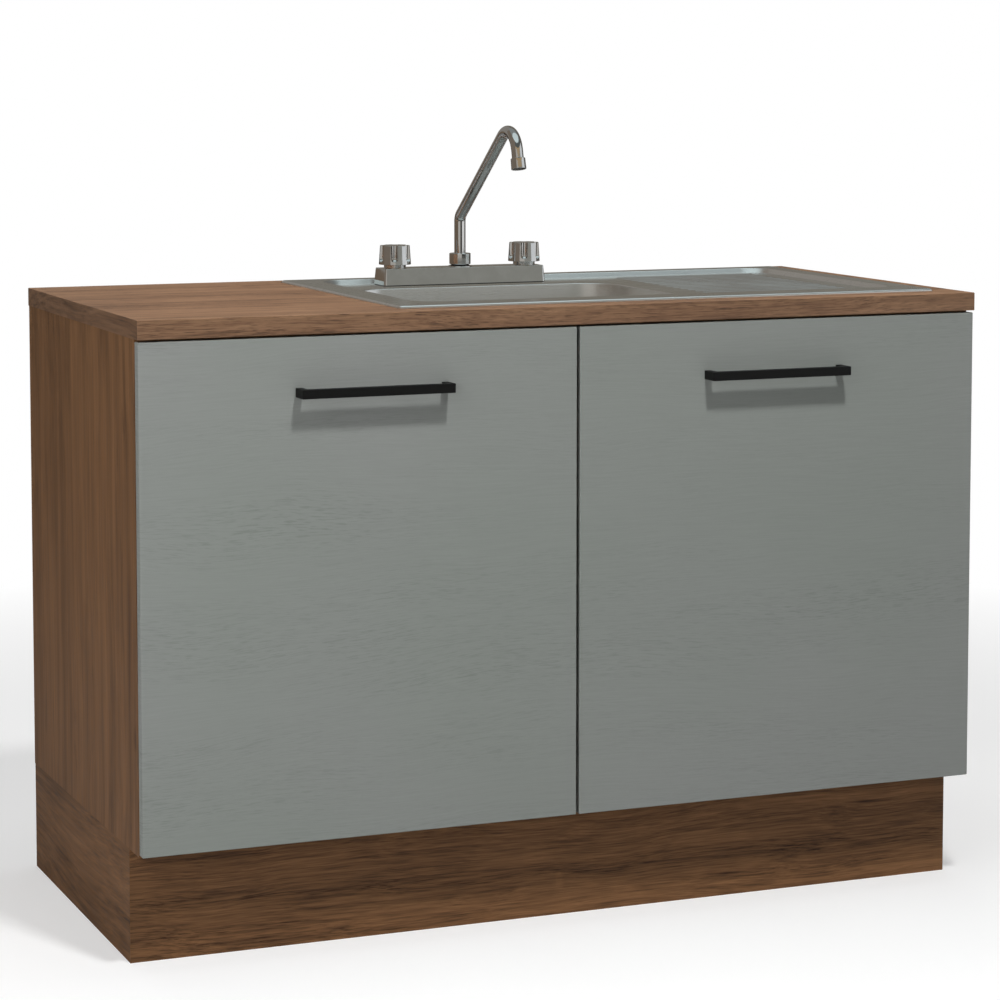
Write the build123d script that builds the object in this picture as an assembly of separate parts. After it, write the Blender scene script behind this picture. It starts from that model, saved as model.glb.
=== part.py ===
from build123d import *
import os
from math import atan2, cos, degrees, radians, sin, sqrt

# Kitchen sink unit in millimetres. X runs to the right, Y to the back, Z up.
# The origin is on the floor under the middle of the whole unit.

# ---- worktop and carcass ----
unit_width = 1200.0
worktop_depth = 580.0
worktop_thickness = 25.0
worktop_top = 835.0
worktop_edge_radius = 1.2
side_overhang = 1.0
panel_thickness = 15.0
back_thickness = 3.0
rail_height = 80.0
stile_width = 70.0
service_hole_width = 260.0
service_hole_height = 270.0
service_hole_rise = 45.0
worktop_bracket_arm = 30.0
worktop_bracket_width = 18.0
worktop_bracket_sheet = 2.0
worktop_bracket_inset = 220.0
plinth_height = 150.0
plinth_setback = 66.0
corner_block_side = 25.0
corner_block_height = 110.0
cam_radius = 7.5
cam_depth = 12.0
cam_edge_distance = 26.0
fit_gap = 0.1
cut_overrun = 1.0

# ---- doors ----
door_thickness = 15.0
door_setback = 2.0
door_carcass_gap = 3.0
door_meeting_gap = 4.5
door_end_gap = 3.0
door_edge_ease = 0.8
handle_length = 208.0
handle_bar_height = 12.0
handle_bar_thickness = 9.0
handle_leg_width = 9.0
handle_projection = 28.0
handle_edge_ease = 0.7
handle_drop = 71.0
handle_shift = 12.0
handle_screw_radius = 2.0
handle_screw_head_radius = 4.0
handle_screw_head_height = 2.4
handle_screw_bite = 12.0
bumper_radius = 4.0
bumper_thickness = 2.8
bumper_inset = 12.0

# ---- cup hinges ----
hinge_inset = 100.0
cup_radius = 17.5
cup_edge_distance = 3.0
cup_bore_depth = 12.0
cup_wall = 0.8
cup_flange_thickness = 1.0
cup_flange_margin = 1.5
cup_flange_trim = 2.0
cup_flange_reach = 26.0
hinge_pin_radius = 1.1
knuckle_radius = 2.2
knuckle_clearance = 0.4
running_gap = 0.05
arm_width = 10.0
arm_sheet = 1.8
arm_reach = 10.8
arm_body_width = 14.0
arm_body_height = 9.0
arm_body_wall = 1.4
arm_nose_overlap = 2.0
plate_setback = 20.0
plate_length = 50.0
plate_width = 17.0
plate_screw_line = 37.0
plate_wing_reach = 23.0
plate_wing_width = 12.0

# ---- sink ----
sink_length = 800.0
sink_right_margin = 37.5
sink_front_margin = 44.0
sink_back_margin = 36.0
sink_sheet = 1.0
sink_rim_rise = 3.5
sink_lip_slope = 3.0
sink_corner_radius = 8.0
cutout_margin = 14.0
cutout_corner_radius = 15.0
seal_inset = 4.0
rim_left = 47.0
rim_right = 30.0
rim_front = 52.0
rim_back = 26.0
deck_drop = 7.5
deck_slope = 4.0
deck_corner_radius = 38.0
bowl_from_left = 54.5
bowl_from_front = 64.0
bowl_length = 410.0
bowl_width = 314.0
bowl_drop = 160.0
bowl_draft = 12.0
bowl_corner_radius = 62.0
bowl_floor_radius = 26.0
rib_start = 42.0
rib_end_margin = 32.0
rib_front_margin = 44.0
rib_pitch = 24.4
rib_width = 9.0
rib_height = 1.6
clip_width = 14.0
clip_sheet = 1.5
clip_leg_inset = 17.0
clip_foot_reach = 20.0
clip_screw_radius = 2.5
clip_screw_gap = 3.5

# ---- waste and trap ----
waste_hole_radius = 44.0
waste_flange_radius = 56.0
waste_flange_height = 1.5
waste_body_radius = 43.0
waste_body_drop = 30.0
waste_seat_drop = 6.0
waste_seat_radius = 38.0
waste_mouth_radius = 41.0
waste_wall = 3.0
waste_tail_radius = 24.0
waste_tail_drop = 62.0
gasket_thickness = 2.0
locknut_height = 9.0
locknut_radius = 60.0
locknut_sides = 8
basket_flange_radius = 40.5
basket_radius = 35.0
basket_drop = 26.0
basket_sheet = 1.0
basket_hole_radius = 3.0
basket_hole_circle = 22.0
basket_hole_count = 6
basket_post_radius = 3.0
basket_grip_radius = 8.0
basket_grip_height = 5.0
pipe_radius = 20.0
pipe_wall = 2.0
dip_tube_radius = 19.0
dip_tube_drop = 190.0
trap_radius = 30.0
trap_top_drop = 95.0
trap_body_height = 72.0
trap_cup_height = 75.0
trap_wall = 2.5
trap_outlet_reach = 68.0
trap_outlet_drop = 120.0
trap_nut_height = 18.0
trap_nut_wall = 6.0
trap_nut_sides = 10
slip_gap = 0.3
pipe_insert = 15.0
pipe_back_gap = 1.0
pipe_spigot_length = 40.0
pipe_bead_width = 3.0
pipe_bead_height = 1.5

# ---- tap ----
tap_from_back = 56.4
tap_hole_radius = 17.0
tap_base_length = 253.0
valve_from_base_end = 24.9
tap_base_depth = 49.0
tap_base_height = 23.5
tap_base_draft = 2.5
tap_base_wall = 2.5
tap_base_corner_radius = 5.0
tap_base_edge_ease = 0.8
tap_gasket_thickness = 1.0
tap_gasket_inset = 1.0
tower_half = 12.5
crossbar_radius = 8.0
bonnet_radius = 11.8
bonnet_rise = 7.0
cartridge_radius = 8.0
cartridge_drop = 12.0
spindle_radius = 4.0
tail_radius = 11.0
tail_end_radius = 10.3
tail_end_length = 24.0
tail_bore_radius = 6.5
tail_drop = 58.0
tap_nut_radius = 21.0
tap_nut_height = 9.0
tap_nut_sides = 8
knob_core_radius = 16.0
knob_radius = 23.4
knob_top_radius = 21.6
knob_height = 33.3
knob_lobe_drop = 27.8
knob_running_gap = 0.3
knob_cavity_radius = 13.0
knob_cap_thickness = 17.0
flute_count = 6
flute_radius = 5.2
flute_centre_radius = 22.4
flute_end_rise = 6.5
socket_radius = 10.8
collar_radius = 18.0
collar_height = 2.0
nut_gap = 1.5
spout_nut_radius = 15.9
spout_nut_height = 16.0
spout_nut_cap = 2.0
spout_nut_sides = 16
spout_radius = 8.3
spout_wall = 1.2
spout_foot_drop = 8.0
spout_mouth_bore = 14.0
spout_shoulder_radius = 10.3
spout_shoulder_height = 2.5
spout_elbow_rise = 73.0
spout_elbow_radius = 14.0
spout_incline = 36.3
spout_incline_length = 257.0
spout_bend_radius = 34.0
spout_end_lean = 14.0
spout_end_length = 69.0
aerator_radius = 10.6
aerator_length = 15.5
aerator_insert = 7.0
aerator_mouth_wall = 1.6
aerator_screen_thickness = 3.0
aerator_screen_rise = 2.0

# ---- places worked out from the sizes ----
overall_depth = worktop_depth - door_setback + handle_projection
worktop_front = handle_projection - door_setback - overall_depth / 2
worktop_back = worktop_front + worktop_depth
worktop_bottom = worktop_top - worktop_thickness
half_width = unit_width / 2
side_outer = half_width - side_overhang
side_inner = side_outer - panel_thickness
door_front = worktop_front + door_setback
door_back = door_front + door_thickness
carcass_front = door_back + door_carcass_gap
carcass_back = worktop_back - back_thickness
bottom_top = plinth_height + panel_thickness
rail_bottom = worktop_bottom - rail_height
plinth_front_y = worktop_front + plinth_setback
door_low = plinth_height + door_end_gap
door_high = worktop_bottom - door_end_gap
door_inner = door_meeting_gap / 2

sink_front = worktop_front + sink_front_margin
sink_back = worktop_back - sink_back_margin
sink_depth = sink_back - sink_front
sink_right = half_width - sink_right_margin
sink_left = sink_right - sink_length
sink_centre_x = (sink_left + sink_right) / 2
rim_top = worktop_top + sink_rim_rise
deck_z = rim_top - deck_drop
deck_left = sink_left + rim_left
deck_right = sink_right - rim_right
deck_front = sink_front + rim_front
deck_back = sink_back - rim_back
bowl_left = sink_left + bowl_from_left
bowl_right = bowl_left + bowl_length
bowl_front = sink_front + bowl_from_front
bowl_back = bowl_front + bowl_width
bowl_x = (bowl_left + bowl_right) / 2
bowl_y = (bowl_front + bowl_back) / 2
bowl_floor = deck_z - bowl_drop
trap_outlet_z = bowl_floor - trap_outlet_drop

tap_x = bowl_x
tap_y = sink_back - tap_from_back
tap_base_low = deck_z + tap_gasket_thickness
tap_base_top = tap_base_low + tap_base_height
tower_top = tap_base_top - tap_base_wall
tap_hole_spacing = tap_base_length - 2 * valve_from_base_end
valve_x = (tap_x - tap_hole_spacing / 2, tap_x + tap_hole_spacing / 2)

# The hinge pin lies inside the cup, as near to the door's edge and to the cup's floor
# as the arm's knuckle allows.
cup_outer_radius = cup_radius - fit_gap
cup_inner_radius = cup_outer_radius - cup_wall
cup_half_chord = sqrt(cup_inner_radius**2 - (arm_width / 2) ** 2)
pin_from_edge = cup_edge_distance + cup_radius - cup_half_chord + knuckle_clearance + knuckle_radius
pin_from_back = cup_bore_depth - fit_gap - cup_wall - knuckle_clearance - knuckle_radius
hinge_x = side_outer - pin_from_edge
hinge_y = door_back - pin_from_back
hinge_z = (door_low + hinge_inset, door_high - hinge_inset)
plate_face = hinge_x - arm_reach


# ---- helpers ----
def block(x, y, z):
    """Box between the low and high value given for each axis."""
    size = Box(x[1] - x[0], y[1] - y[0], z[1] - z[0])
    return Pos(sum(x) / 2, sum(y) / 2, sum(z) / 2) * size


def tapered(x, y, start, end, radius, inset=0.0):
    """Round-cornered block from height start to height end, where its outline is drawn in."""
    outline = Pos(sum(x) / 2, sum(y) / 2, start) * RectangleRounded(x[1] - x[0], y[1] - y[0], radius)
    return extrude(outline, end - start, taper=degrees(atan2(inset, abs(end - start))))


def turned(*corners):
    """Body of revolution about Z through corners given as (radius, height)."""
    outline = Polyline(*[(radius, 0, height) for radius, height in corners], close=True)
    return revolve(make_face(outline), Axis.Z)


def rod(radius, start, length, turn=(0, 0, 0)):
    """Round bar from start along Z, or along the direction that turn gives."""
    bar = Cylinder(radius, length, align=(Align.CENTER, Align.CENTER, Align.MIN))
    return Pos(*start) * Rot(*turn) * bar


def prism(sides, radius, z):
    """Upright prism with a regular outline about Z."""
    return Pos(0, 0, z[0]) * extrude(RegularPolygon(radius, sides), z[1] - z[0])


def hole(radius, low, high):
    """Cutting form for a round upright hole through what lies between two heights."""
    return rod(radius, (0, 0, low - cut_overrun), high - low + 2 * cut_overrun)


TO_BACK = (-90, 0, 0)
TO_FRONT = (90, 0, 0)
TO_RIGHT = (0, 90, 0)


def mirrored(shape):
    """The same piece on the other side of the unit's middle plane."""
    return mirror(shape, Plane.YZ)


def group(shapes):
    """Separate solids kept together in one piece list."""
    return Compound(children=[solid for shape in shapes for solid in shape.solids()])


# ---- carcass ----
def side_panel():
    """Right side panel, from the plinth to the worktop."""
    return block((side_inner, side_outer), (carcass_front, carcass_back), (plinth_height, worktop_bottom))


def cam_places():
    """Centres and directions of the cam discs on the inner faces of the rails."""
    rail_middle = (rail_bottom + worktop_bottom) / 2
    places = []
    for side in (-1, 1):
        x = side * (side_inner - cam_edge_distance)
        places.append(((x, carcass_front + panel_thickness, rail_middle), TO_FRONT))
        places.append(((x, carcass_back - panel_thickness, rail_middle), TO_BACK))
    return places


def cam_bores():
    """Blind holes that take the cam discs."""
    return [rod(cam_radius + fit_gap, place, cam_depth + fit_gap, turn) for place, turn in cam_places()]


def cam_discs():
    """Cam discs, flush with the faces that they are let into."""
    discs = []
    for place, turn in cam_places():
        discs.append(rod(cam_radius, place, cam_depth, turn))
    return group(discs)


def bottom_panel():
    """Cabinet floor between the side panels."""
    return block((-side_inner, side_inner), (carcass_front, carcass_back), (plinth_height, bottom_top))


def front_rail():
    """Upright rail on edge behind the tops of the doors."""
    x = (-side_inner, side_inner)
    y = (carcass_front, carcass_front + panel_thickness)
    return block(x, y, (rail_bottom, worktop_bottom)) - cam_bores()


def rear_rail():
    """Upright rail on edge in front of the back panel."""
    x = (-side_inner, side_inner)
    y = (carcass_back - panel_thickness, carcass_back)
    return block(x, y, (rail_bottom, worktop_bottom)) - cam_bores()


def centre_stile():
    """Upright batten that closes the line where the doors meet."""
    x = (-stile_width / 2, stile_width / 2)
    return block(x, (carcass_front, carcass_front + panel_thickness), (bottom_top, rail_bottom))


def back_panel():
    """Thin back nailed to the rear edges, with a service opening behind the bowl."""
    panel = block((-side_outer, side_outer), (carcass_back, worktop_back), (plinth_height, worktop_bottom))
    x = (bowl_x - service_hole_width / 2, bowl_x + service_hole_width / 2)
    centre = trap_outlet_z + service_hole_rise
    z = (centre - service_hole_height / 2, centre + service_hole_height / 2)
    return panel - block(x, (carcass_back - cut_overrun, worktop_back + cut_overrun), z)


def worktop():
    """Worktop with eased edges and the cut-out for the sink."""
    x = (-half_width, half_width)
    slab = block(x, (worktop_front, worktop_back), (worktop_bottom, worktop_top))
    front = slab.edges().group_by(Axis.Y)[0].filter_by(Axis.X)
    slab = fillet(front + slab.edges().group_by(Axis.Z)[-1].filter_by(Axis.Y), worktop_edge_radius)
    return slab - cutout_form(worktop_bottom, worktop_top)


def cutout_form(low, high):
    """Cutting form of the worktop's cut-out between two heights."""
    x = (sink_left + cutout_margin, sink_right - cutout_margin)
    y = (sink_front + cutout_margin, sink_back - cutout_margin)
    return tapered(x, y, low - cut_overrun, high + cut_overrun, cutout_corner_radius)


def worktop_brackets():
    """Angle brackets that hold the worktop to the rails."""
    arm, sheet = worktop_bracket_arm, worktop_bracket_sheet
    brackets = []
    for x in (-half_width + worktop_bracket_inset, half_width - worktop_bracket_inset):
        across = (x - worktop_bracket_width / 2, x + worktop_bracket_width / 2)
        rail = carcass_back - panel_thickness
        upright = block(across, (rail - sheet, rail), (worktop_bottom - arm, worktop_bottom))
        flat = block(across, (rail - arm / 2, rail), (worktop_bottom - sheet, worktop_bottom))
        brackets.append(upright + flat)
    for side in (-1, 1):
        wall = side * side_inner
        across = (-worktop_bracket_width / 2, worktop_bracket_width / 2)
        upright = block(sorted((wall, wall - side * sheet)), across, (worktop_bottom - arm, worktop_bottom))
        flat = block(sorted((wall, wall - side * arm / 2)), across, (worktop_bottom - sheet, worktop_bottom))
        brackets.append(upright + flat)
    return group(brackets)


# ---- plinth ----
def plinth_side():
    """Right side of the plinth; its front edge covers the end of the front board."""
    return block((side_inner, side_outer), (plinth_front_y, carcass_back), (0, plinth_height))


def plinth_board(front):
    """Cross board between the plinth sides whose front face is at the given Y."""
    return block((-side_inner, side_inner), (front, front + panel_thickness), (0, plinth_height))


def plinth_support():
    """Middle board under the cabinet floor, from the front board to the rear one."""
    y = (plinth_front_y + panel_thickness, carcass_back - panel_thickness)
    return block((-panel_thickness / 2, panel_thickness / 2), y, (0, plinth_height))


def plinth_corner_blocks():
    """Square blocks that stiffen the four inner corners of the plinth."""
    blocks = []
    z = (plinth_height - corner_block_height, plinth_height)
    front = plinth_front_y + panel_thickness
    rear = carcass_back - panel_thickness
    for y in ((front, front + corner_block_side), (rear - corner_block_side, rear)):
        right = block((side_inner - corner_block_side, side_inner), y, z)
        blocks += [right, mirrored(right)]
    return group(blocks)


# ---- doors, all drawn for the right door ----
def cup_centre(z):
    """Centre of a hinge cup at the mouth of its bore."""
    return (side_outer - cup_edge_distance - cup_radius, door_back, z)


def handle_x():
    """Middle of the handle's length."""
    return (side_outer + door_inner) / 2 - handle_shift


def handle_z():
    """Middle of the handle's height."""
    return door_high - handle_drop


def handle_screw_places():
    """X of the two screws, in the middle of the handle's legs."""
    reach = (handle_length - handle_leg_width) / 2
    return (handle_x() - reach, handle_x() + reach)


def door_panel():
    """Flat door with eased edges, cup bores and handle screw holes."""
    door = block((door_inner, side_outer), (door_front, door_back), (door_low, door_high))
    door = chamfer(door.edges(), door_edge_ease)
    for z in hinge_z:
        door -= rod(cup_radius, cup_centre(z), cup_bore_depth, TO_FRONT)
    for x in handle_screw_places():
        start = (x, door_front - cut_overrun, handle_z())
        reach = door_thickness + 2 * cut_overrun
        door -= rod(handle_screw_radius + fit_gap, start, reach, TO_BACK)
    return door


def handle():
    """Square bar handle: a bar with a leg at each end, bent from one section."""
    half = handle_length / 2
    z = (handle_z() - handle_bar_height / 2, handle_z() + handle_bar_height / 2)
    x = (handle_x() - half, handle_x() + half)
    bow = block(x, (door_front - handle_projection, door_front), z)
    bow = chamfer(bow.edges().group_by(Axis.Y)[0] + bow.edges().filter_by(Axis.Y), handle_edge_ease)
    gap_x = (x[0] + handle_leg_width, x[1] - handle_leg_width)
    gap_y = (door_front - handle_projection + handle_bar_thickness, door_front + cut_overrun)
    bow -= block(gap_x, gap_y, (z[0] - cut_overrun, z[1] + cut_overrun))
    for place in handle_screw_places():
        bow -= rod(handle_screw_radius, (place, door_front, handle_z()), handle_screw_bite, TO_FRONT)
    return bow


def handle_screws():
    """Machine screws from behind the door into the handle's legs."""
    screws = []
    for x in handle_screw_places():
        place = (x, door_back, handle_z())
        reach = door_thickness + handle_screw_bite - cut_overrun
        shank = rod(handle_screw_radius - fit_gap / 2, place, reach, TO_FRONT)
        head = rod(handle_screw_head_radius, place, handle_screw_head_height, TO_BACK)
        screws.append(shank + head)
    return group(screws)


def door_bumpers():
    """Soft discs behind the free corners of the door, where it meets the rail and floor."""
    x = stile_width / 4 + door_inner
    return group(
        rod(bumper_radius, (x, door_back, z), bumper_thickness, TO_BACK)
        for z in (door_low + bumper_inset - door_end_gap / 2, door_high - bumper_inset)
    )


def hinge_pin(z):
    """Pin held at both ends in the walls of the cup."""
    side = hinge_x + hinge_pin_radius - cup_centre(z)[0]
    reach = sqrt(cup_outer_radius**2 - side**2)
    return rod(hinge_pin_radius, (hinge_x, hinge_y, z - reach), 2 * reach)


def hinge_cups():
    """Pressed cups with a long flange, open towards the cabinet, and their pins."""
    cups = []
    for z in hinge_z:
        x, y, _ = cup_centre(z)
        depth = cup_bore_depth - fit_gap
        mouth = y + cup_flange_thickness
        flange_x = (x - cup_radius - cup_flange_margin, side_outer - cup_flange_trim)
        flange = block(flange_x, (y, mouth), (z - cup_flange_reach, z + cup_flange_reach))
        cup = flange + rod(cup_outer_radius, (x, y, z), depth, TO_FRONT)
        cup -= rod(cup_inner_radius, (x, mouth, z), depth + cup_flange_thickness - cup_wall, TO_FRONT)
        cup -= rod(hinge_pin_radius, (hinge_x, hinge_y, z - cup_radius), 2 * cup_radius)
        cups += [cup, hinge_pin(z)]
    return group(cups)


def hinge_arms():
    """Cranked arms: a knuckle on the pin, a hook round the door's edge and a body on the plate."""
    arms = []
    for z in hinge_z:
        low = z - arm_width / 2
        across = (low, low + arm_width)
        knuckle = rod(knuckle_radius, (hinge_x, hinge_y, low), arm_width)
        hook_y = (hinge_y + knuckle_radius - arm_sheet, hinge_y + knuckle_radius)
        hook = block((plate_face - arm_sheet, hinge_x), hook_y, across)
        body_front = carcass_front + plate_setback
        body_back = body_front + plate_length
        nose = block((plate_face - arm_sheet, plate_face), (hook_y[0], body_front + arm_nose_overlap), across)
        half = arm_body_width / 2
        body_z = (z - half, z + half)
        body = block((plate_face - arm_body_height, plate_face), (body_front, body_back), body_z)
        wall = arm_body_wall
        inside_x = (plate_face - arm_body_height + wall, plate_face)
        inside_y = (body_front + wall, body_back - wall)
        body -= block(inside_x, inside_y, (body_z[0] + wall, body_z[1] - wall))
        bore = rod(hinge_pin_radius + running_gap, (hinge_x, hinge_y, low), arm_width)
        arms.append(knuckle + hook + nose + body - bore)
    return group(arms)


def hinge_plates():
    """Mounting plates on the side panel, with wings for their screws."""
    plates = []
    x = (plate_face, side_inner)
    front = carcass_front + plate_setback
    middle = carcass_front + plate_screw_line
    wing_y = (middle - plate_wing_width / 2, middle + plate_wing_width / 2)
    for z in hinge_z:
        plate = block(x, (front, front + plate_length), (z - plate_width / 2, z + plate_width / 2))
        plates.append(plate + block(x, wing_y, (z - plate_wing_reach, z + plate_wing_reach)))
    return group(plates)


# ---- sink ----
def rim_lid(lower=0.0):
    """Raised rim as a lid with sloping edges, optionally lowered."""
    x = (sink_left, sink_right)
    y = (sink_front, sink_back)
    return tapered(x, y, worktop_top - lower, rim_top - lower, sink_corner_radius, sink_lip_slope)


def deck_form(grow=0.0):
    """Sunken deck with sloping sides, from above the rim down to the deck's face."""
    x = (deck_left - grow, deck_right + grow)
    y = (deck_front - grow, deck_back + grow)
    high = rim_top if grow else rim_top + cut_overrun
    return tapered(x, y, high, deck_z - grow, deck_corner_radius + grow, deck_slope)


def bowl_form(grow=0.0):
    """Bowl with drafted sides and a rounded floor edge."""
    x = (bowl_left - grow, bowl_right + grow)
    y = (bowl_front - grow, bowl_back + grow)
    high = deck_z if grow else deck_z + cut_overrun
    form = tapered(x, y, high, bowl_floor - grow, bowl_corner_radius + grow, bowl_draft)
    return fillet(form.edges().group_by(Axis.Z)[0], bowl_floor_radius + grow)


def drainer_ribs():
    """Parallel raised ribs of the drainer, from beside the bowl to the end of the deck."""
    start = bowl_right + rib_start
    length = deck_right - rib_end_margin - start
    first = deck_front + rib_front_margin
    count = int((deck_back - rib_front_margin / 2 - first) // rib_pitch) + 1
    rib = extrude(SlotOverall(length, rib_width), rib_height + sink_sheet / 2)
    low = deck_z - sink_sheet / 2
    return [Pos(start + length / 2, first + i * rib_pitch, low) * rib for i in range(count)]


def sink():
    """Pressed sheet sink: raised rim, sunken ribbed drainer, tap ledge and bowl."""
    shell = rim_lid() - rim_lid(sink_sheet)
    shell += deck_form(sink_sheet)
    shell += bowl_form(sink_sheet)
    shell -= deck_form()
    shell -= bowl_form()
    shell += drainer_ribs()
    shell -= rod(waste_hole_radius, (bowl_x, bowl_y, bowl_floor - 2 * sink_sheet), 4 * sink_sheet)
    for x in valve_x:
        shell -= rod(tap_hole_radius, (x, tap_y, deck_z - 2 * sink_sheet), 4 * sink_sheet)
    return shell


def sink_seal():
    """Foam ring between the rim and the worktop."""
    x = (sink_left + seal_inset, sink_right - seal_inset)
    y = (sink_front + seal_inset, sink_back - seal_inset)
    ring = tapered(x, y, worktop_top, rim_top - sink_sheet, sink_corner_radius)
    return ring - cutout_form(worktop_top, rim_top)


def sink_clip():
    """Hook clip under the front rim, drawn at the origin of the rim's outer edge."""
    across = (-clip_width / 2, clip_width / 2)
    leg_y = (clip_leg_inset, clip_leg_inset + clip_sheet)
    foot_z = worktop_bottom - clip_screw_gap
    leg = block(across, leg_y, (foot_z - clip_sheet, rim_top - sink_sheet))
    foot_y = (clip_leg_inset - clip_foot_reach, leg_y[1])
    foot = block(across, foot_y, (foot_z - clip_sheet, foot_z))
    screw_y = clip_leg_inset - clip_foot_reach / 2 - clip_sheet
    screw = prism(6, clip_screw_radius, (foot_z - 3 * clip_sheet, worktop_bottom))
    return leg + foot + Pos(0, screw_y, 0) * screw


def sink_clips():
    """Clips round the underside of the rim."""
    clip = sink_clip()
    third = sink_length / 3
    clips = []
    for x in (sink_centre_x - third, sink_centre_x, sink_centre_x + third):
        clips.append(Pos(x, sink_front, 0) * clip)
        clips.append(Pos(x, sink_back, 0) * Rot(0, 0, 180) * clip)
    middle = (sink_front + sink_back) / 2
    clips.append(Pos(sink_left, middle, 0) * Rot(0, 0, -90) * clip)
    clips.append(Pos(sink_right, middle, 0) * Rot(0, 0, 90) * clip)
    return group(clips)


# ---- waste and trap, drawn about the waste axis with the bowl floor at zero ----
def at_waste(shape):
    """Moves a piece from the waste's own origin to its place under the bowl."""
    return Pos(bowl_x, bowl_y, bowl_floor) * shape


def waste_body():
    """Strainer body: flange in the bowl, stepped cup and threaded tail."""
    tail_bore = waste_tail_radius - waste_wall
    return at_waste(turned(
        (waste_flange_radius, 0),
        (waste_flange_radius, waste_flange_height),
        (waste_mouth_radius, waste_flange_height),
        (waste_mouth_radius, -waste_seat_drop),
        (waste_seat_radius, -waste_seat_drop),
        (waste_seat_radius, -waste_body_drop),
        (tail_bore, -waste_body_drop),
        (tail_bore, -waste_tail_drop),
        (waste_tail_radius, -waste_tail_drop),
        (waste_tail_radius, -waste_body_drop - waste_wall),
        (waste_body_radius, -waste_body_drop - waste_wall),
        (waste_body_radius, 0),
    ))


def waste_gasket():
    """Rubber ring between the bowl's underside and the locknut."""
    low = -sink_sheet - gasket_thickness
    inner = waste_hole_radius
    outer = waste_flange_radius
    return at_waste(turned((inner, low), (outer, low), (outer, -sink_sheet), (inner, -sink_sheet)))


def waste_locknut():
    """Large nut that clamps the strainer body in the bowl."""
    high = -sink_sheet - gasket_thickness
    nut = prism(locknut_sides, locknut_radius, (high - locknut_height, high))
    return at_waste(nut - hole(waste_body_radius + fit_gap, high - locknut_height, high))


def strainer_basket():
    """Lift-out basket with a perforated floor, a post and a grip."""
    low = -basket_drop
    sheet = basket_sheet
    seat = -waste_seat_drop
    basket = turned(
        (0, low),
        (basket_radius, low),
        (basket_radius, seat),
        (basket_flange_radius, seat),
        (basket_flange_radius, seat + sheet),
        (basket_radius - sheet, seat + sheet),
        (basket_radius - sheet, low + sheet),
        (basket_post_radius, low + sheet),
        (basket_post_radius, 0),
        (basket_grip_radius, 0),
        (basket_grip_radius, basket_grip_height),
        (0, basket_grip_height),
    )
    for place in PolarLocations(basket_hole_circle, basket_hole_count):
        basket -= place * hole(basket_hole_radius, low, low + sheet)
    return at_waste(basket)


def trap_inlet_nut():
    """Coupling nut between the strainer's tail and the trap's inlet tube."""
    radius = waste_tail_radius + trap_nut_wall
    low = -waste_tail_drop - gasket_thickness - pipe_wall - trap_wall
    nut = prism(trap_nut_sides, radius, (low, low + trap_nut_height))
    nut -= rod(waste_tail_radius + slip_gap, (0, 0, low + trap_wall), trap_nut_height)
    return at_waste(nut - hole(dip_tube_radius + slip_gap, low, low + trap_wall))


def trap_inlet_tube():
    """Flanged tube from the strainer down into the bottle of the trap."""
    top = -waste_tail_drop
    shoulder = top - gasket_thickness - pipe_wall
    bore = dip_tube_radius - pipe_wall
    return at_waste(turned(
        (bore, top),
        (waste_tail_radius, top),
        (waste_tail_radius, shoulder),
        (dip_tube_radius, shoulder),
        (dip_tube_radius, -dip_tube_drop),
        (bore, -dip_tube_drop),
    ))


def trap_body():
    """Upper half of the bottle trap, with a neck and a side outlet to the back."""
    top = -trap_top_drop
    low = top - trap_body_height
    neck = dip_tube_radius + slip_gap
    wall = trap_wall
    body = turned(
        (neck, top + trap_nut_height / 2),
        (neck + wall, top + trap_nut_height / 2),
        (neck + wall, top),
        (trap_radius, top),
        (trap_radius, low),
        (trap_radius - wall, low),
        (trap_radius - wall, top - wall),
        (neck, top - wall),
    )
    outlet = (0, 0, -trap_outlet_drop)
    outer = pipe_radius + slip_gap + wall
    bottle = rod(trap_radius - wall / 2, (0, 0, low), trap_body_height)
    body += rod(outer, outlet, trap_outlet_reach, TO_BACK) - bottle
    bore_start = (0, trap_radius - 2 * wall, -trap_outlet_drop)
    body -= rod(pipe_radius + slip_gap, bore_start, trap_outlet_reach, TO_BACK)
    return at_waste(body)


def trap_neck_nut():
    """Nut that seals the inlet tube in the trap's neck."""
    low = -trap_top_drop + fit_gap
    inner = dip_tube_radius + slip_gap
    radius = inner + trap_wall + trap_nut_wall
    nut = prism(trap_nut_sides, radius, (low, low + trap_nut_height))
    nut -= hole(inner + trap_wall + slip_gap, low - cut_overrun, low + trap_nut_height / 2 - cut_overrun)
    return at_waste(nut - hole(inner, low, low + trap_nut_height))


def trap_cup():
    """Screw-off cup of the trap, closed below, with a collar over the body."""
    joint = -trap_top_drop - trap_body_height
    wall = trap_wall
    collar = trap_radius + slip_gap
    high = joint + trap_nut_height
    low = joint - trap_cup_height
    return at_waste(turned(
        (0, low),
        (trap_radius - 3 * wall, low),
        (collar + wall, low + 3 * wall),
        (collar + wall, high),
        (collar, high),
        (collar, joint),
        (trap_radius - wall, joint),
        (trap_radius - wall, low + 3 * wall),
        (0, low + 3 * wall),
    ))


def outlet_pipe():
    """Waste pipe from the trap to the back of the unit, with a bead before its free spigot."""
    start = bowl_y + trap_outlet_reach - pipe_insert
    length = worktop_back - pipe_back_gap - start
    place = (bowl_x, start, trap_outlet_z)
    pipe = rod(pipe_radius, place, length, TO_BACK)
    bead_y = start + length - pipe_spigot_length - pipe_bead_width
    bead = rod(pipe_radius + pipe_bead_height, (bowl_x, bead_y, trap_outlet_z), pipe_bead_width, TO_BACK)
    return pipe + bead - rod(pipe_radius - pipe_wall, place, length, TO_BACK)


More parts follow.
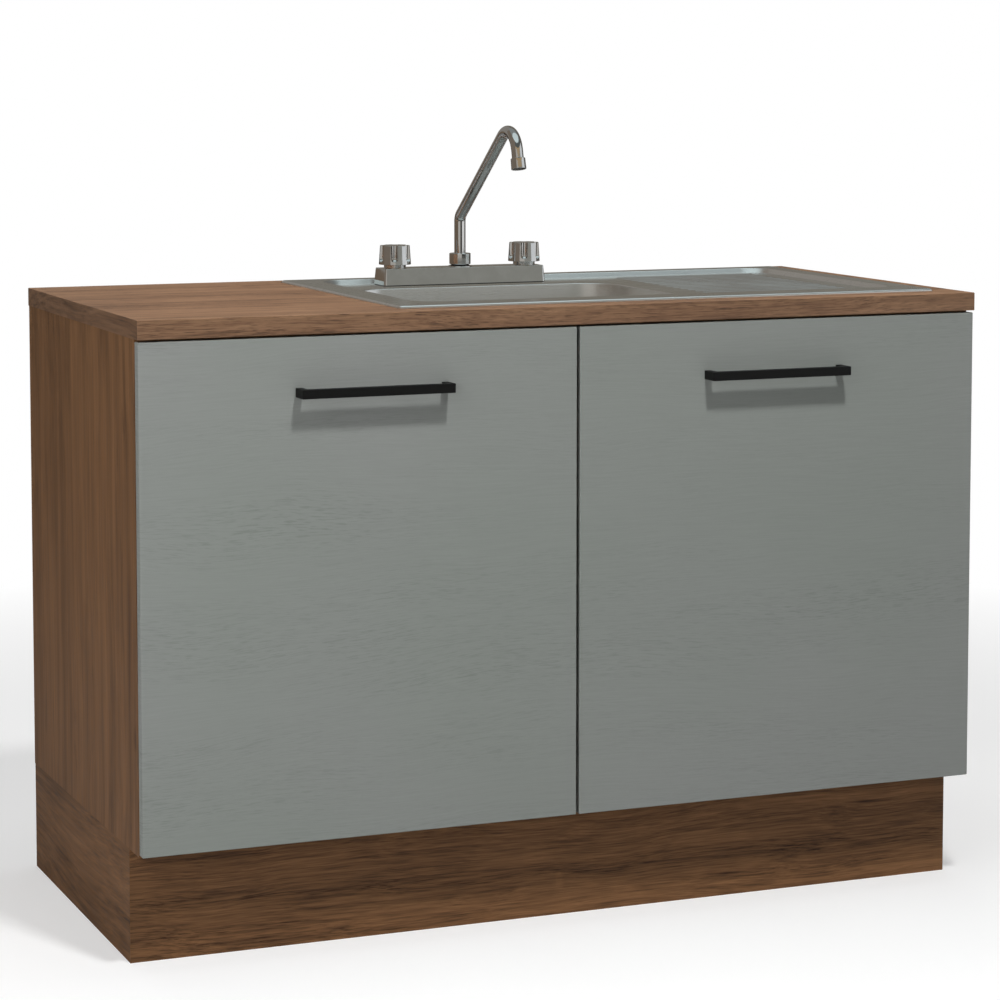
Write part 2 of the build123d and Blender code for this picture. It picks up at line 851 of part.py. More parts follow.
def outlet_nut():
    """Nut that seals the waste pipe in the trap's outlet."""
    inner = pipe_radius + slip_gap
    outer = inner + trap_wall
    nut = prism(trap_nut_sides, outer + trap_nut_wall, (0, trap_nut_height))
    nut -= hole(outer + slip_gap, -cut_overrun, trap_nut_height - trap_wall - cut_overrun)
    nut -= hole(inner, 0, trap_nut_height)
    y = bowl_y + trap_outlet_reach + trap_wall - trap_nut_height + slip_gap
    return Pos(bowl_x, y, trap_outlet_z) * Rot(*TO_BACK) * nut


# ---- tap ----
def tap_base():
    """Chrome cover with drafted sides, hollow below, with holes for the valves and spout."""
    x = (tap_x - tap_base_length / 2, tap_x + tap_base_length / 2)
    y = (tap_y - tap_base_depth / 2, tap_y + tap_base_depth / 2)
    cover = tapered(x, y, tap_base_low, tap_base_top, tap_base_corner_radius, tap_base_draft)
    cover = chamfer(cover.edges().group_by(Axis.Z)[-1], tap_base_edge_ease)
    wall = tap_base_wall + tap_base_draft
    inside_x = (x[0] + wall, x[1] - wall)
    inside_y = (y[0] + wall, y[1] - wall)
    cover -= block(inside_x, inside_y, (tap_base_low - cut_overrun, tower_top))
    for x in valve_x:
        cover -= Pos(x, tap_y, 0) * hole(bonnet_radius + fit_gap, tower_top, tap_base_top)
    return cover - Pos(tap_x, tap_y, 0) * hole(socket_radius + fit_gap, tower_top, tap_base_top)


def tap_gasket():
    """Flat gasket between the tap's base and the sink's ledge."""
    half_length = tap_base_length / 2 - tap_gasket_inset
    half_depth = tap_base_depth / 2 - tap_gasket_inset
    x = (tap_x - half_length, tap_x + half_length)
    y = (tap_y - half_depth, tap_y + half_depth)
    gasket = tapered(x, y, deck_z, tap_base_low, tap_base_corner_radius)
    for x in valve_x:
        gasket -= Pos(x, tap_y, 0) * hole(tap_hole_radius, deck_z, tap_base_low)
    return gasket


def socket_top():
    """Height of the spout socket inside the spout nut."""
    return nut_low() + spout_nut_height - spout_nut_cap - spout_shoulder_height - 2 * fit_gap


def nut_low():
    """Height of the spout nut's lower face."""
    return tap_base_top + collar_height + nut_gap


def tap_waterway():
    """Brass waterway inside the base: two square towers, a crossbar and the spout socket."""
    half = tap_hole_spacing / 2
    centre_z = tap_base_low + crossbar_radius + fit_gap
    body = rod(crossbar_radius, (tap_x - half, tap_y, centre_z), tap_hole_spacing, TO_RIGHT)
    y = (tap_y - tower_half, tap_y + tower_half)
    for x in valve_x + (tap_x,):
        body += block((x - tower_half, x + tower_half), y, (tap_base_low, tower_top))
    body += rod(socket_radius, (tap_x, tap_y, tower_top), socket_top() - tower_top)
    foot = tap_base_top - spout_foot_drop - fit_gap
    body -= rod(spout_radius + running_gap, (tap_x, tap_y, foot), socket_top() - foot + cut_overrun)
    for x in valve_x:
        place = (x, tap_y, tower_top - cartridge_drop)
        body -= rod(cartridge_radius, place, cartridge_drop + cut_overrun)
    return body


def inlet_tails():
    """Inlet tubes under the two valves, stepped down to the supply thread."""
    tail = turned(
        (tail_bore_radius, -tail_drop),
        (tail_end_radius, -tail_drop),
        (tail_end_radius, tail_end_length - tail_drop),
        (tail_radius, tail_end_length - tail_drop),
        (tail_radius, 0),
        (tail_bore_radius, 0),
    )
    return group(Pos(x, tap_y, tap_base_low) * tail for x in valve_x)


def tap_nuts():
    """Wide nuts that clamp the tap to the sink's ledge from below."""
    under = deck_z - sink_sheet
    nut = prism(tap_nut_sides, tap_nut_radius, (under - tap_nut_height, under))
    nut -= hole(tail_radius + fit_gap, under - tap_nut_height, under)
    return group(Pos(x, tap_y, 0) * nut for x in valve_x)


def valve_bonnets():
    """Brass bonnets seated in the towers, bored for the turning spindles."""
    bonnets = []
    for x in valve_x:
        low = tower_top - cartridge_drop + fit_gap
        bonnet = rod(cartridge_radius - fit_gap, (x, tap_y, low), tower_top - low)
        bonnet += rod(bonnet_radius, (x, tap_y, tower_top), tap_base_wall + bonnet_rise)
        high = tap_base_top + bonnet_rise
        bonnets.append(bonnet - Pos(x, tap_y, 0) * hole(spindle_radius + running_gap, low, high))
    return group(bonnets)


def spindle(x):
    """Valve spindle, from the cartridge up into the knob."""
    low = tower_top - cartridge_drop + 2 * fit_gap
    return rod(spindle_radius, (x, tap_y, low), tap_base_top + knob_height - knob_cap_thickness / 2 - low)


def knob(x):
    """Fluted knob: round core, wide head and grooves that end above the head's lower edge."""
    low = knob_running_gap
    skirt = knob_height - knob_lobe_drop
    solid = rod(knob_core_radius, (0, 0, low), knob_height - low)
    outline = Pos(0, 0, skirt) * Circle(knob_radius)
    head_height = knob_height - skirt
    draft = degrees(atan2(knob_radius - knob_top_radius, head_height))
    solid += extrude(outline, head_height, taper=draft)
    groove = rod(flute_radius, (0, 0, skirt + flute_end_rise), knob_height)
    for place in PolarLocations(flute_centre_radius, flute_count, start_angle=-90):
        solid -= place * groove
    solid -= rod(knob_cavity_radius, (0, 0, 0), knob_height - knob_cap_thickness)
    solid -= rod(spindle_radius, (0, 0, 0), knob_height - knob_cap_thickness / 2)
    return Pos(x, tap_y, tap_base_top) * solid


def spout_collar():
    """Thin ring on the base round the spout socket."""
    inner = socket_radius + fit_gap
    ring = turned((inner, 0), (collar_radius, 0), (collar_radius, collar_height), (inner, collar_height))
    return Pos(tap_x, tap_y, tap_base_top) * ring


def spout_nut():
    """Facetted nut that holds the spout's shoulder in the socket."""
    nut = prism(spout_nut_sides, spout_nut_radius, (0, spout_nut_height))
    cavity_top = spout_nut_height - spout_nut_cap
    nut -= hole(socket_radius + running_gap, -cut_overrun, cavity_top - cut_overrun)
    nut -= hole(spout_radius + running_gap, 0, spout_nut_height)
    return Pos(tap_x, tap_y, nut_low()) * nut


def spout_points():
    """Corners of the spout's centre line: foot, elbow, crown and mouth."""
    foot = (tap_x, tap_y, tap_base_top - spout_foot_drop)
    elbow = (tap_x, tap_y, tap_base_top + spout_elbow_rise)
    rise = radians(spout_incline)
    crown = (tap_x, tap_y - spout_incline_length * cos(rise), elbow[2] + spout_incline_length * sin(rise))
    lean = radians(spout_end_lean)
    mouth = (tap_x, crown[1] - spout_end_length * sin(lean), crown[2] - spout_end_length * cos(lean))
    return foot, elbow, crown, mouth


def spout_tube():
    """Bent chrome tube, bored at both ends, with a shoulder under the nut."""
    path = FilletPolyline(*spout_points(), radius=[spout_elbow_radius, spout_bend_radius])
    tube = sweep(Plane(origin=spout_points()[0]) * Circle(spout_radius), path=path)
    bore = spout_radius - spout_wall
    tube -= rod(bore, spout_points()[0], spout_elbow_rise + spout_foot_drop - spout_elbow_radius)
    tube -= at_mouth(rod(bore, (0, 0, -cut_overrun), spout_mouth_bore + cut_overrun))
    low = socket_top() + fit_gap
    shoulder = rod(spout_shoulder_radius, (tap_x, tap_y, low), spout_shoulder_height)
    return tube + (shoulder - rod(spout_radius - spout_wall / 2, (tap_x, tap_y, low), spout_shoulder_height))


def at_mouth(shape):
    """Moves a piece to the spout's mouth, with its own Z pointing back up the tube."""
    _, _, crown, mouth = spout_points()
    up = Vector(*crown) - Vector(*mouth)
    return Plane(origin=mouth, x_dir=(1, 0, 0), z_dir=up) * shape


def aerator():
    """Aerator housing screwed over the end of the spout."""
    low = aerator_insert - aerator_length
    inner = aerator_radius - aerator_mouth_wall
    return at_mouth(turned(
        (spout_radius, 0),
        (spout_radius, aerator_insert),
        (aerator_radius, aerator_insert),
        (aerator_radius, low),
        (inner, low),
        (inner, 0),
    ))


def aerator_screen():
    """Screen pressed into the aerator's mouth."""
    low = aerator_insert - aerator_length + aerator_screen_rise
    return at_mouth(rod(aerator_radius - aerator_mouth_wall, (0, 0, low), aerator_screen_thickness))


# ---- every piece by name ----
def pieces():
    """All pieces of the unit, keyed by the name of the piece."""
    named = {
        "side_panel_right": side_panel(),
        "side_panel_left": mirrored(side_panel()),
        "bottom_panel": bottom_panel(),
        "back_panel": back_panel(),
        "front_rail": front_rail(),
        "rear_rail": rear_rail(),
        "centre_stile": centre_stile(),
        "cam_discs": cam_discs(),
        "worktop": worktop(),
        "worktop_brackets": worktop_brackets(),
        "plinth_front": plinth_board(plinth_front_y),
        "plinth_rear": plinth_board(carcass_back - panel_thickness),
        "plinth_side_right": plinth_side(),
        "plinth_side_left": mirrored(plinth_side()),
        "plinth_support": plinth_support(),
        "plinth_corner_blocks": plinth_corner_blocks(),
        "sink": sink(),
        "sink_seal": sink_seal(),
        "sink_clips": sink_clips(),
        "waste_body": waste_body(),
        "waste_gasket": waste_gasket(),
        "waste_locknut": waste_locknut(),
        "strainer_basket": strainer_basket(),
        "trap_inlet_nut": trap_inlet_nut(),
        "trap_inlet_tube": trap_inlet_tube(),
        "trap_body": trap_body(),
        "trap_neck_nut": trap_neck_nut(),
        "trap_cup": trap_cup(),
        "outlet_pipe": outlet_pipe(),
        "outlet_nut": outlet_nut(),
        "tap_base": tap_base(),
        "tap_gasket": tap_gasket(),
        "tap_waterway": tap_waterway(),
        "inlet_tails": inlet_tails(),
        "tap_nuts": tap_nuts(),
        "valve_bonnets": valve_bonnets(),
        "spout_collar": spout_collar(),
        "spout_nut": spout_nut(),
        "spout_tube": spout_tube(),
        "aerator": aerator(),
        "aerator_screen": aerator_screen(),
    }
    for name, x in zip(("left", "right"), valve_x):
        named["spindle_" + name] = spindle(x)
        named["knob_" + name] = knob(x)
    paired = {
        "door_panel": door_panel,
        "handle": handle,
        "handle_screws": handle_screws,
        "door_bumpers": door_bumpers,
        "hinge_cups": hinge_cups,
        "hinge_arms": hinge_arms,
        "hinge_plates": hinge_plates,
    }
    for name, make in paired.items():
        right = make()
        named[name + "_right"] = right
        named[name + "_left"] = group([mirrored(solid) for solid in right.solids()])
    return named


os.makedirs("parts", exist_ok=True)
for node, shape in pieces().items():
    export_step(shape, "parts/" + node + ".step")
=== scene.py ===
"""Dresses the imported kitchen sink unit: fine sink and tap meshes, finishes, studio and camera."""

import math

import bmesh
import bpy
from mathutils import Matrix, Vector


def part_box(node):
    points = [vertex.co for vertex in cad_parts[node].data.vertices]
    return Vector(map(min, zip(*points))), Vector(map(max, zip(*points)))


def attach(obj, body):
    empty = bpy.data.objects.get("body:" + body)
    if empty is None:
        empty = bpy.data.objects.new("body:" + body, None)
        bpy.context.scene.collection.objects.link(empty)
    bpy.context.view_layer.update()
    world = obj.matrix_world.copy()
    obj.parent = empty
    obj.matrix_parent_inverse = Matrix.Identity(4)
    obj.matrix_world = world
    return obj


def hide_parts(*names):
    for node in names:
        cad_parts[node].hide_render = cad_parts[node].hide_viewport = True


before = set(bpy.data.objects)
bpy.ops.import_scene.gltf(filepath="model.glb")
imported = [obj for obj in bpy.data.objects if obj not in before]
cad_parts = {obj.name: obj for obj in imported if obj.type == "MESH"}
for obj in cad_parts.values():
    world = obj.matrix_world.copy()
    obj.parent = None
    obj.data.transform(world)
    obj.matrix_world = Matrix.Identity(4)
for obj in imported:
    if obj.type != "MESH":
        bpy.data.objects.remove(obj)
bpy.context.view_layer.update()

# ---- sizes in metres; places come from the frame's own boxes ----
MM = 0.001
QUARTER = math.pi / 2
MERGE_DISTANCE = 1e-6
LEAST_RADIUS = 0.5 * MM
ROUNDING_SHARE = 0.49
RIM_WIDTH = {"left": 47 * MM, "right": 30 * MM, "front": 52 * MM, "back": 26 * MM}
LIP_SLOPE = 3 * MM
RIM_RISE = 3.5 * MM
DECK_DROP = 7.5 * MM
DECK_SLOPE = 4 * MM
SINK_CORNER = 8 * MM
DECK_CORNER = 38 * MM
BOWL_FROM_LEFT = 54.5 * MM
BOWL_FROM_FRONT = 64 * MM
BOWL_SIZE = (410 * MM, 314 * MM)
BOWL_DROP = 160 * MM
BOWL_DRAFT = 12 * MM
BOWL_CORNER = 62 * MM
BOWL_LIP_RADIUS = 5 * MM
BOWL_LIP_START = -4.9 * MM
BOWL_FLOOR_RADIUS = 26 * MM
BOWL_FLOOR_SOFTNESS = 1.15
BOWL_FLOOR_REACH = 16 * MM
BOWL_STEPS = 9
DECK_STEP_BACK = 6 * MM
DECK_STEP_AHEAD = 1.8 * MM
LIP_FLAT = 2.4
PRESS_RADIUS = 2.2 * MM
SHEET = 1 * MM
WASTE_HOLE = 44 * MM
RIB_START = 42 * MM
RIB_END_MARGIN = 32 * MM
RIB_FRONT_MARGIN = 44 * MM
RIB_PITCH = 24.4 * MM
RIB_WIDTH = 9 * MM
RIB_HEIGHT = 1.6 * MM
RIB_SINK_IN = 0.25 * MM
RIB_POINTS_ALONG = 121
RIB_POINTS_ACROSS = 15

WASTE_FLANGE_EDGE = 0.6 * MM
WASTE_FLANGE_SLOPE = 4 * MM
WASTE_MOUTH_TOP = 42.5 * MM
WASTE_MOUTH = 41 * MM
WASTE_MOUTH_DROP = 5 * MM
WASTE_SEAT = 38 * MM
WASTE_SEAT_DROP = 6 * MM
WASTE_CUP = 43 * MM
WASTE_CUP_DROP = 30 * MM
WASTE_TAIL = 24 * MM
WASTE_WALL = 3 * MM
WASTE_EASE = 1 * MM

KNOB_CORE = 16 * MM
KNOB_TOP = 21.6 * MM
KNOB_SKIRT = 23.4 * MM
KNOB_HEAD = 27.8 * MM
KNOB_EDGE = 0.8 * MM
KNOB_RISE_STEPS = 40
KNOB_EDGE_STEPS = 4
KNOB_SEGMENTS = 288
FLUTES = 6
FLUTE_RADIUS = 5.2 * MM
FLUTE_CENTRE = 22.4 * MM
FLUTE_END = 9.5 * MM
FLUTE_TURN = math.radians(-111)

SPOUT_RADIUS = 8.3 * MM
SPOUT_FOOT_DROP = 8 * MM
SPOUT_ELBOW_RISE = 73 * MM
SPOUT_ELBOW_RADIUS = 14 * MM
SPOUT_INCLINE = math.radians(36.3)
SPOUT_INCLINE_LENGTH = 257 * MM
SPOUT_BEND_RADIUS = 34 * MM
SPOUT_LEAN = math.radians(14)
SPOUT_END_LENGTH = 69 * MM
BEND_STEPS = 22
TUBE_SIDES = 64
RING_BORE_SHARE = 0.62
RING_TOP_SHARE = 0.86
RING_FLARE_SHARE = 0.35
RING_EASE = 0.6 * MM
NUT_SIDES = 16
NUT_EASE = 0.7 * MM
SEAL_INNER = 11 * MM
SEAL_OUTER = 13.2 * MM
SEAL_EASE = 0.5 * MM
AERATOR_RADIUS = 10.6 * MM
AERATOR_INSERT = 7 * MM
AERATOR_LENGTH = 15.5 * MM
AERATOR_WALL = 1.6 * MM
AERATOR_LEDGE = 2 * MM
AERATOR_MOUTH_BAND = 1.5 * MM
AERATOR_BODY_BAND = 9 * MM
AERATOR_NECK_SHARE = 0.97
AERATOR_BODY_SHARE = 0.98
AERATOR_EASE = 0.6 * MM
TAP_BASE_CORNER = 5 * MM
TAP_BASE_EDGE = 1.0 * MM
TAP_BASE_DRAFT = 2.5 * MM
TAP_BASE_EDGE_STEPS = 6
TAP_BASE_FLAT = 2.2


def box_of(node):
    """Low corner, high corner and centre of a node of the frame."""
    low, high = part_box(node)
    return low, high, (low + high) / 2


SINK_LOW, SINK_HIGH, _ = box_of("sink")
BASE_LOW, BASE_HIGH, BASE_MIDDLE = box_of("tap_base")
WORKTOP_TOP = SINK_HIGH.z - RIM_RISE
DECK_Z = SINK_HIGH.z - DECK_DROP
BOWL_FLOOR = DECK_Z - BOWL_DROP


# ---- shader helpers ----
def socket_name(word):
    """Socket label for a keyword, such as Base Color for base_color."""
    return word.replace("_", " ").title().replace("Ior", "IOR")


def srgb(red, green, blue):
    """Linear colour of a tone given in the 0 to 255 steps of a screen."""
    steps = [value / 255 for value in (red, green, blue)]
    linear = [v / 12.92 if v <= 0.04045 else ((v + 0.055) / 1.055) ** 2.4 for v in steps]
    return (*linear, 1.0)


class Bench:
    """Adds nodes to one tree and wires them up."""

    def __init__(self, tree):
        self.tree = tree

    def add(self, kind, inputs=None, **settings):
        """New node; inputs maps a socket's name or number to a value or to another socket."""
        node = self.tree.nodes.new(kind)
        for name, value in settings.items():
            setattr(node, name, value)
        for key, value in (inputs or {}).items():
            if isinstance(value, bpy.types.NodeSocket):
                self.tree.links.new(value, node.inputs[key])
            else:
                node.inputs[key].default_value = value
        return node

    def math(self, operation, first, second=0.0, clamp=False):
        inputs = {0: first, 1: second}
        return self.add("ShaderNodeMath", inputs, operation=operation, use_clamp=clamp).outputs[0]

    def spread(self, value, low, high, new_low=0.0, new_high=1.0):
        """Maps low..high to new_low..new_high without passing either."""
        inputs = {0: value, 1: low, 2: high, 3: new_low, 4: new_high}
        return self.add("ShaderNodeMapRange", inputs).outputs[0]

    def choose(self, amount, first, second):
        """Vector between two others."""
        inputs = {0: amount, 4: first, 5: second}
        return self.add("ShaderNodeMix", inputs, data_type="VECTOR").outputs[1]

    def mix(self, amount, first, second, blend="MIX"):
        inputs = {0: amount, 6: first, 7: second}
        return self.add("ShaderNodeMix", inputs, data_type="RGBA", blend_type=blend).outputs[2]

    def turned(self, vector, scale=(1, 1, 1), rotation=(0, 0, 0), location=(0, 0, 0)):
        inputs = {"Vector": vector, "Scale": scale, "Rotation": rotation, "Location": location}
        return self.add("ShaderNodeMapping", inputs).outputs[0]

    def noise(self, vector, scale=1.0, detail=2.0, roughness=0.5, distortion=0.0):
        inputs = {"Vector": vector, "Scale": scale, "Detail": detail, "Roughness": roughness}
        inputs["Distortion"] = distortion
        return self.add("ShaderNodeTexNoise", inputs).outputs[0]

    def ramp(self, value, *stops):
        """Colour ramp through stops given as (place, colour)."""
        node = self.add("ShaderNodeValToRGB", {0: value})
        elements = node.color_ramp.elements
        while len(elements) < len(stops):
            elements.new(1.0)
        for element, (place, colour) in zip(elements, stops):
            element.position = place
            element.color = colour
        return node.outputs[0]


def fresh_bench(block):
    """Bench of a material's or a world's own node tree, emptied."""
    block.use_nodes = True
    block.node_tree.nodes.clear()
    return Bench(block.node_tree)


def shader_group(name, inputs, outputs):
    """Empty shader node group with the given sockets; returns its bench, inputs and result node."""
    tree = bpy.data.node_groups.new(name, "ShaderNodeTree")
    for label, kind, value in inputs:
        socket = tree.interface.new_socket(label, in_out="INPUT", socket_type=kind)
        if value is not None:
            socket.default_value = value
    for label, kind in outputs:
        tree.interface.new_socket(label, in_out="OUTPUT", socket_type=kind)
    bench = Bench(tree)
    return bench, bench.add("NodeGroupInput").outputs, bench.add("NodeGroupOutput")


FLOAT, VECTOR, COLOUR = "NodeSocketFloat", "NodeSocketVector", "NodeSocketColor"


STAVE_LENGTH = 0.46
STAVE_WIDTH = 0.075
STAVE_OFFSET = 0.37
SWAY = 0.022


def walnut_grain_group():
    """Printed walnut along the vector's X: staves, soft stripes, dark figure, fibres and pore dashes, and
    painted shade that darkens faces marked as edges.
    """
    bench, given, result = shader_group(
        "walnut_grain",
        [
            ("Vector", VECTOR, None),
            ("Pale", COLOUR, srgb(150, 117, 88)),
            ("Middle", COLOUR, srgb(122, 90, 65)),
            ("Dark", COLOUR, srgb(84, 60, 43)),
            ("Stripe Strength", FLOAT, 0.5),
            ("Stave Strength", FLOAT, 0.2),
            ("Fibre Strength", FLOAT, 0.4),
            ("Figure Strength", FLOAT, 0.5),
            ("Pore Strength", FLOAT, 0.5),
            ("Pore Density", FLOAT, 40.0),
            ("Edge", FLOAT, 0.0),
            ("Edge Shade", FLOAT, 1.0),
            ("Edge Rows", FLOAT, 0.0),
        ],
        [("Color", COLOUR), ("Roughness", FLOAT), ("Height", FLOAT)],
    )
    vector = given["Vector"]
    sway = bench.noise(bench.turned(vector, (1.1, 3.5, 3.5)), detail=3.0, roughness=0.45)
    bend = bench.spread(sway, 0.3, 0.7, -SWAY, SWAY)
    shift = bench.add("ShaderNodeCombineXYZ", {1: bend, 2: bend}).outputs[0]
    flow = bench.add("ShaderNodeVectorMath", {0: vector, 1: shift}, operation="ADD").outputs[0]
    wide = bench.noise(bench.turned(flow, (0.9, 16.0, 16.0)), detail=2.0, roughness=0.5)
    narrow = bench.noise(bench.turned(flow, (1.4, 62.0, 62.0)), detail=3.0, roughness=0.6)
    streaks = bench.noise(bench.turned(flow, (5.0, 190.0, 190.0)), detail=3.0, roughness=0.65)
    fibres = bench.noise(bench.turned(flow, (16.0, 520.0, 520.0)), detail=2.0, roughness=0.6)
    figure = bench.noise(bench.turned(flow, (4.2, 26.0, 26.0)), detail=4.0, roughness=0.6, distortion=1.2)
    spacing = bench.add("ShaderNodeCombineXYZ", {0: given["Pore Density"], 1: 1000.0, 2: 1000.0})
    stretched = {0: flow, 1: spacing.outputs[0]}
    dashes = bench.noise(bench.add("ShaderNodeVectorMath", stretched, operation="MULTIPLY").outputs[0])
    staves = bench.add(
        "ShaderNodeTexBrick",
        {
            "Vector": vector,
            "Color1": (0, 0, 0, 1),
            "Color2": (1, 1, 1, 1),
            "Scale": 1.0,
            "Mortar Size": 0.0,
            "Brick Width": STAVE_LENGTH,
            "Row Height": STAVE_WIDTH,
        },
        offset=STAVE_OFFSET,
        offset_frequency=2,
    ).outputs[0]

    def part_of(value, strength):
        """Swing of one pattern about zero, scaled by its strength."""
        return bench.math("MULTIPLY", bench.math("SUBTRACT", value, 0.5), strength)

    stripes = bench.math("MULTIPLY", bench.math("ADD", wide, narrow), 0.5)
    tone = bench.math("ADD", 0.5, part_of(stripes, given["Stripe Strength"]))
    tone = bench.math("ADD", tone, part_of(staves, given["Stave Strength"]))
    tone = bench.math("ADD", tone, part_of(streaks, given["Fibre Strength"]))
    tone = bench.math("ADD", tone, part_of(fibres, given["Fibre Strength"]))
    smoky = bench.math("MULTIPLY", bench.spread(figure, 0.60, 0.78), given["Figure Strength"])
    tone = bench.math("SUBTRACT", tone, smoky)
    darker = bench.mix(bench.spread(tone, 0.1, 0.5), given["Dark"], given["Middle"])
    base = bench.mix(bench.spread(tone, 0.5, 0.9), darker, given["Pale"])
    rows = bench.math("MULTIPLY", bench.spread(narrow, 0.66, 0.40), bench.spread(wide, 0.72, 0.36))
    rows = bench.math("MAXIMUM", rows, bench.math("MULTIPLY", given["Edge"], given["Edge Rows"]))
    gathered = bench.math("MULTIPLY", bench.spread(dashes, 0.53, 0.64), rows)
    pore_amount = bench.math("MULTIPLY", gathered, given["Pore Strength"])
    pored = bench.mix(pore_amount, base, given["Dark"], "MULTIPLY")
    # painted shade: faces marked as edges are darkened by the Edge Shade factor, in place of the lesser
    # light they get
    shade = bench.spread(given["Edge"], 0.0, 1.0, 1.0, given["Edge Shade"])
    painted_shade_grey = bench.add("ShaderNodeCombineColor", {0: shade, 1: shade, 2: shade}).outputs[0]
    colour = bench.mix(1.0, pored, painted_shade_grey, "MULTIPLY")
    link = bench.tree.links.new
    link(colour, result.inputs["Color"])
    link(bench.spread(fibres, 0.3, 0.7, 0.50, 0.64), result.inputs["Roughness"])
    height = bench.math("SUBTRACT", bench.math("MULTIPLY", fibres, 0.5), pore_amount)
    link(height, result.inputs["Height"])
    return bench.tree


def brushed_group():
    """Fine parallel scratches along the vector's X, with soft cloudy wear."""
    bench, given, result = shader_group(
        "brushed_lines",
        [("Vector", VECTOR, None), ("Line Density", FLOAT, 1500.0), ("Wear", FLOAT, 0.3)],
        [("Shade", FLOAT), ("Roughness", FLOAT), ("Height", FLOAT)],
    )
    density = given["Line Density"]
    stretch = bench.add("ShaderNodeCombineXYZ", {0: 12.0, 1: density, 2: density}).outputs[0]
    stretched = {0: given["Vector"], 1: stretch}
    lined = bench.add("ShaderNodeVectorMath", stretched, operation="MULTIPLY").outputs[0]
    lines = bench.noise(lined, detail=3.0, roughness=0.7)
    cloud = bench.noise(given["Vector"], scale=9.0, detail=3.0, roughness=0.6)
    worn = bench.math("MULTIPLY", bench.math("SUBTRACT", cloud, 0.5), given["Wear"])
    link = bench.tree.links.new
    link(bench.spread(lines, 0.25, 0.75, 0.92, 1.0), result.inputs["Shade"])
    rough = bench.math("ADD", bench.spread(lines, 0.25, 0.75, 0.24, 0.36), worn)
    link(rough, result.inputs["Roughness"])
    link(lines, result.inputs["Height"])
    return bench.tree


def speckle_group():
    """Small uneven spots for castings, moulded plastic, foam and powder coats."""
    bench, given, result = shader_group(
        "speckle",
        [
            ("Vector", VECTOR, None),
            ("Scale", FLOAT, 400.0),
            ("Color", COLOUR, (0.5, 0.5, 0.5, 1)),
            ("Variation", FLOAT, 0.1),
            ("Roughness", FLOAT, 0.5),
        ],
        [("Color", COLOUR), ("Roughness", FLOAT), ("Height", FLOAT)],
    )
    spots = bench.noise(given["Vector"], scale=given["Scale"])
    cloud = bench.noise(given["Vector"], scale=14.0, detail=3.0)
    swing = bench.math("MULTIPLY", bench.math("SUBTRACT", cloud, 0.5), given["Variation"])
    inputs = {"Color": given["Color"], "Value": bench.math("ADD", 1.0, swing)}
    link = bench.tree.links.new
    link(bench.add("ShaderNodeHueSaturation", inputs).outputs[0], result.inputs["Color"])
    rough = bench.math("ADD", given["Roughness"], bench.math("MULTIPLY", swing, 0.6))
    link(rough, result.inputs["Roughness"])
    link(spots, result.inputs["Height"])
    return bench.tree


WALNUT_GRAIN = walnut_grain_group()
BRUSHED_LINES = brushed_group()
SPECKLE = speckle_group()


class Finish:
    """A material under way: its bench, its Principled shader and its Object coordinates."""

    def __init__(self, name, **constants):
        self.material = bpy.data.materials.new(name)
        self.bench = fresh_bench(self.material)
        values = {socket_name(word): value for word, value in constants.items()}
        self.shader = self.bench.add("ShaderNodeBsdfPrincipled", values)
        self.bench.add("ShaderNodeOutputMaterial", {0: self.shader.outputs[0]})
        self.place = self.bench.add("ShaderNodeTexCoord").outputs["Object"]

    def feed(self, **sockets):
        for word, socket in sockets.items():
            self.material.node_tree.links.new(socket, self.shader.inputs[socket_name(word)])

    def bump(self, height, distance, strength=1.0):
        inputs = {"Height": height, "Distance": distance, "Strength": strength}
        node = self.bench.add("ShaderNodeBump", inputs)
        self.feed(normal=node.outputs[0])

    def use_group(self, tree, inputs):
        return self.bench.add("ShaderNodeGroup", inputs, node_tree=tree).outputs


GRAIN_TURN = {"x": (0, 0, 0), "y": (0, 0, -QUARTER), "z": (0, QUARTER, 0)}
GRAIN_OFFSET = (0.31, 0.17, 0.023)
FACES_AXIS = 0.7
SIDE_PORES = 0.2
# painted shade: faces that look along X are darkened by this factor
PAINTED_SIDE_SHADE = 0.88


def walnut(name, along, pale, middle, dark, sheen=0.16, **strengths):
    """Satin walnut decor with its grain along one axis of the unit, and along the edge at the ends; with
    grain along X or Y, edges and faces that look along X are darkened as painted shade.
    """
    finish = Finish(name, specular_ior_level=sheen)
    bench = finish.bench
    vector = bench.turned(finish.place, rotation=GRAIN_TURN[along], location=GRAIN_OFFSET)
    inputs = {"Pale": pale, "Middle": middle, "Dark": dark}
    inputs.update({socket_name(word): value for word, value in strengths.items()})
    if along in "xy":
        facing = bench.add("ShaderNodeTexCoord").outputs["Normal"]
        faced = bench.add("ShaderNodeSeparateXYZ", {0: facing}).outputs
        x, y, z = (bench.math("ABSOLUTE", share) for share in faced)
        at_end = bench.math("GREATER_THAN", {"x": x, "y": y}[along], FACES_AXIS)
        across = {"x": "y", "y": "x"}[along]
        edge_vector = bench.turned(finish.place, rotation=GRAIN_TURN[across], location=GRAIN_OFFSET)
        vector = bench.choose(at_end, vector, edge_vector)
        inputs["Edge"] = bench.math("LESS_THAN", z, FACES_AXIS)
        aside = bench.math("GREATER_THAN", x, FACES_AXIS)
        strength = inputs["Pore Strength"]
        inputs["Pore Strength"] = bench.spread(aside, 0.0, 1.0, strength, strength * SIDE_PORES)
        # painted shade: edges keep the Edge Shade factor, and faces that look along X are darkened further
        shade = inputs.get("Edge Shade", 1.0)
        inputs["Edge Shade"] = bench.spread(aside, 0.0, 1.0, shade, shade * PAINTED_SIDE_SHADE)
    inputs["Vector"] = vector
    grain = finish.use_group(WALNUT_GRAIN, inputs)
    finish.feed(base_color=grain["Color"], roughness=grain["Roughness"])
    finish.bump(grain["Height"], 0.12 * MM, 0.5)
    return finish.material


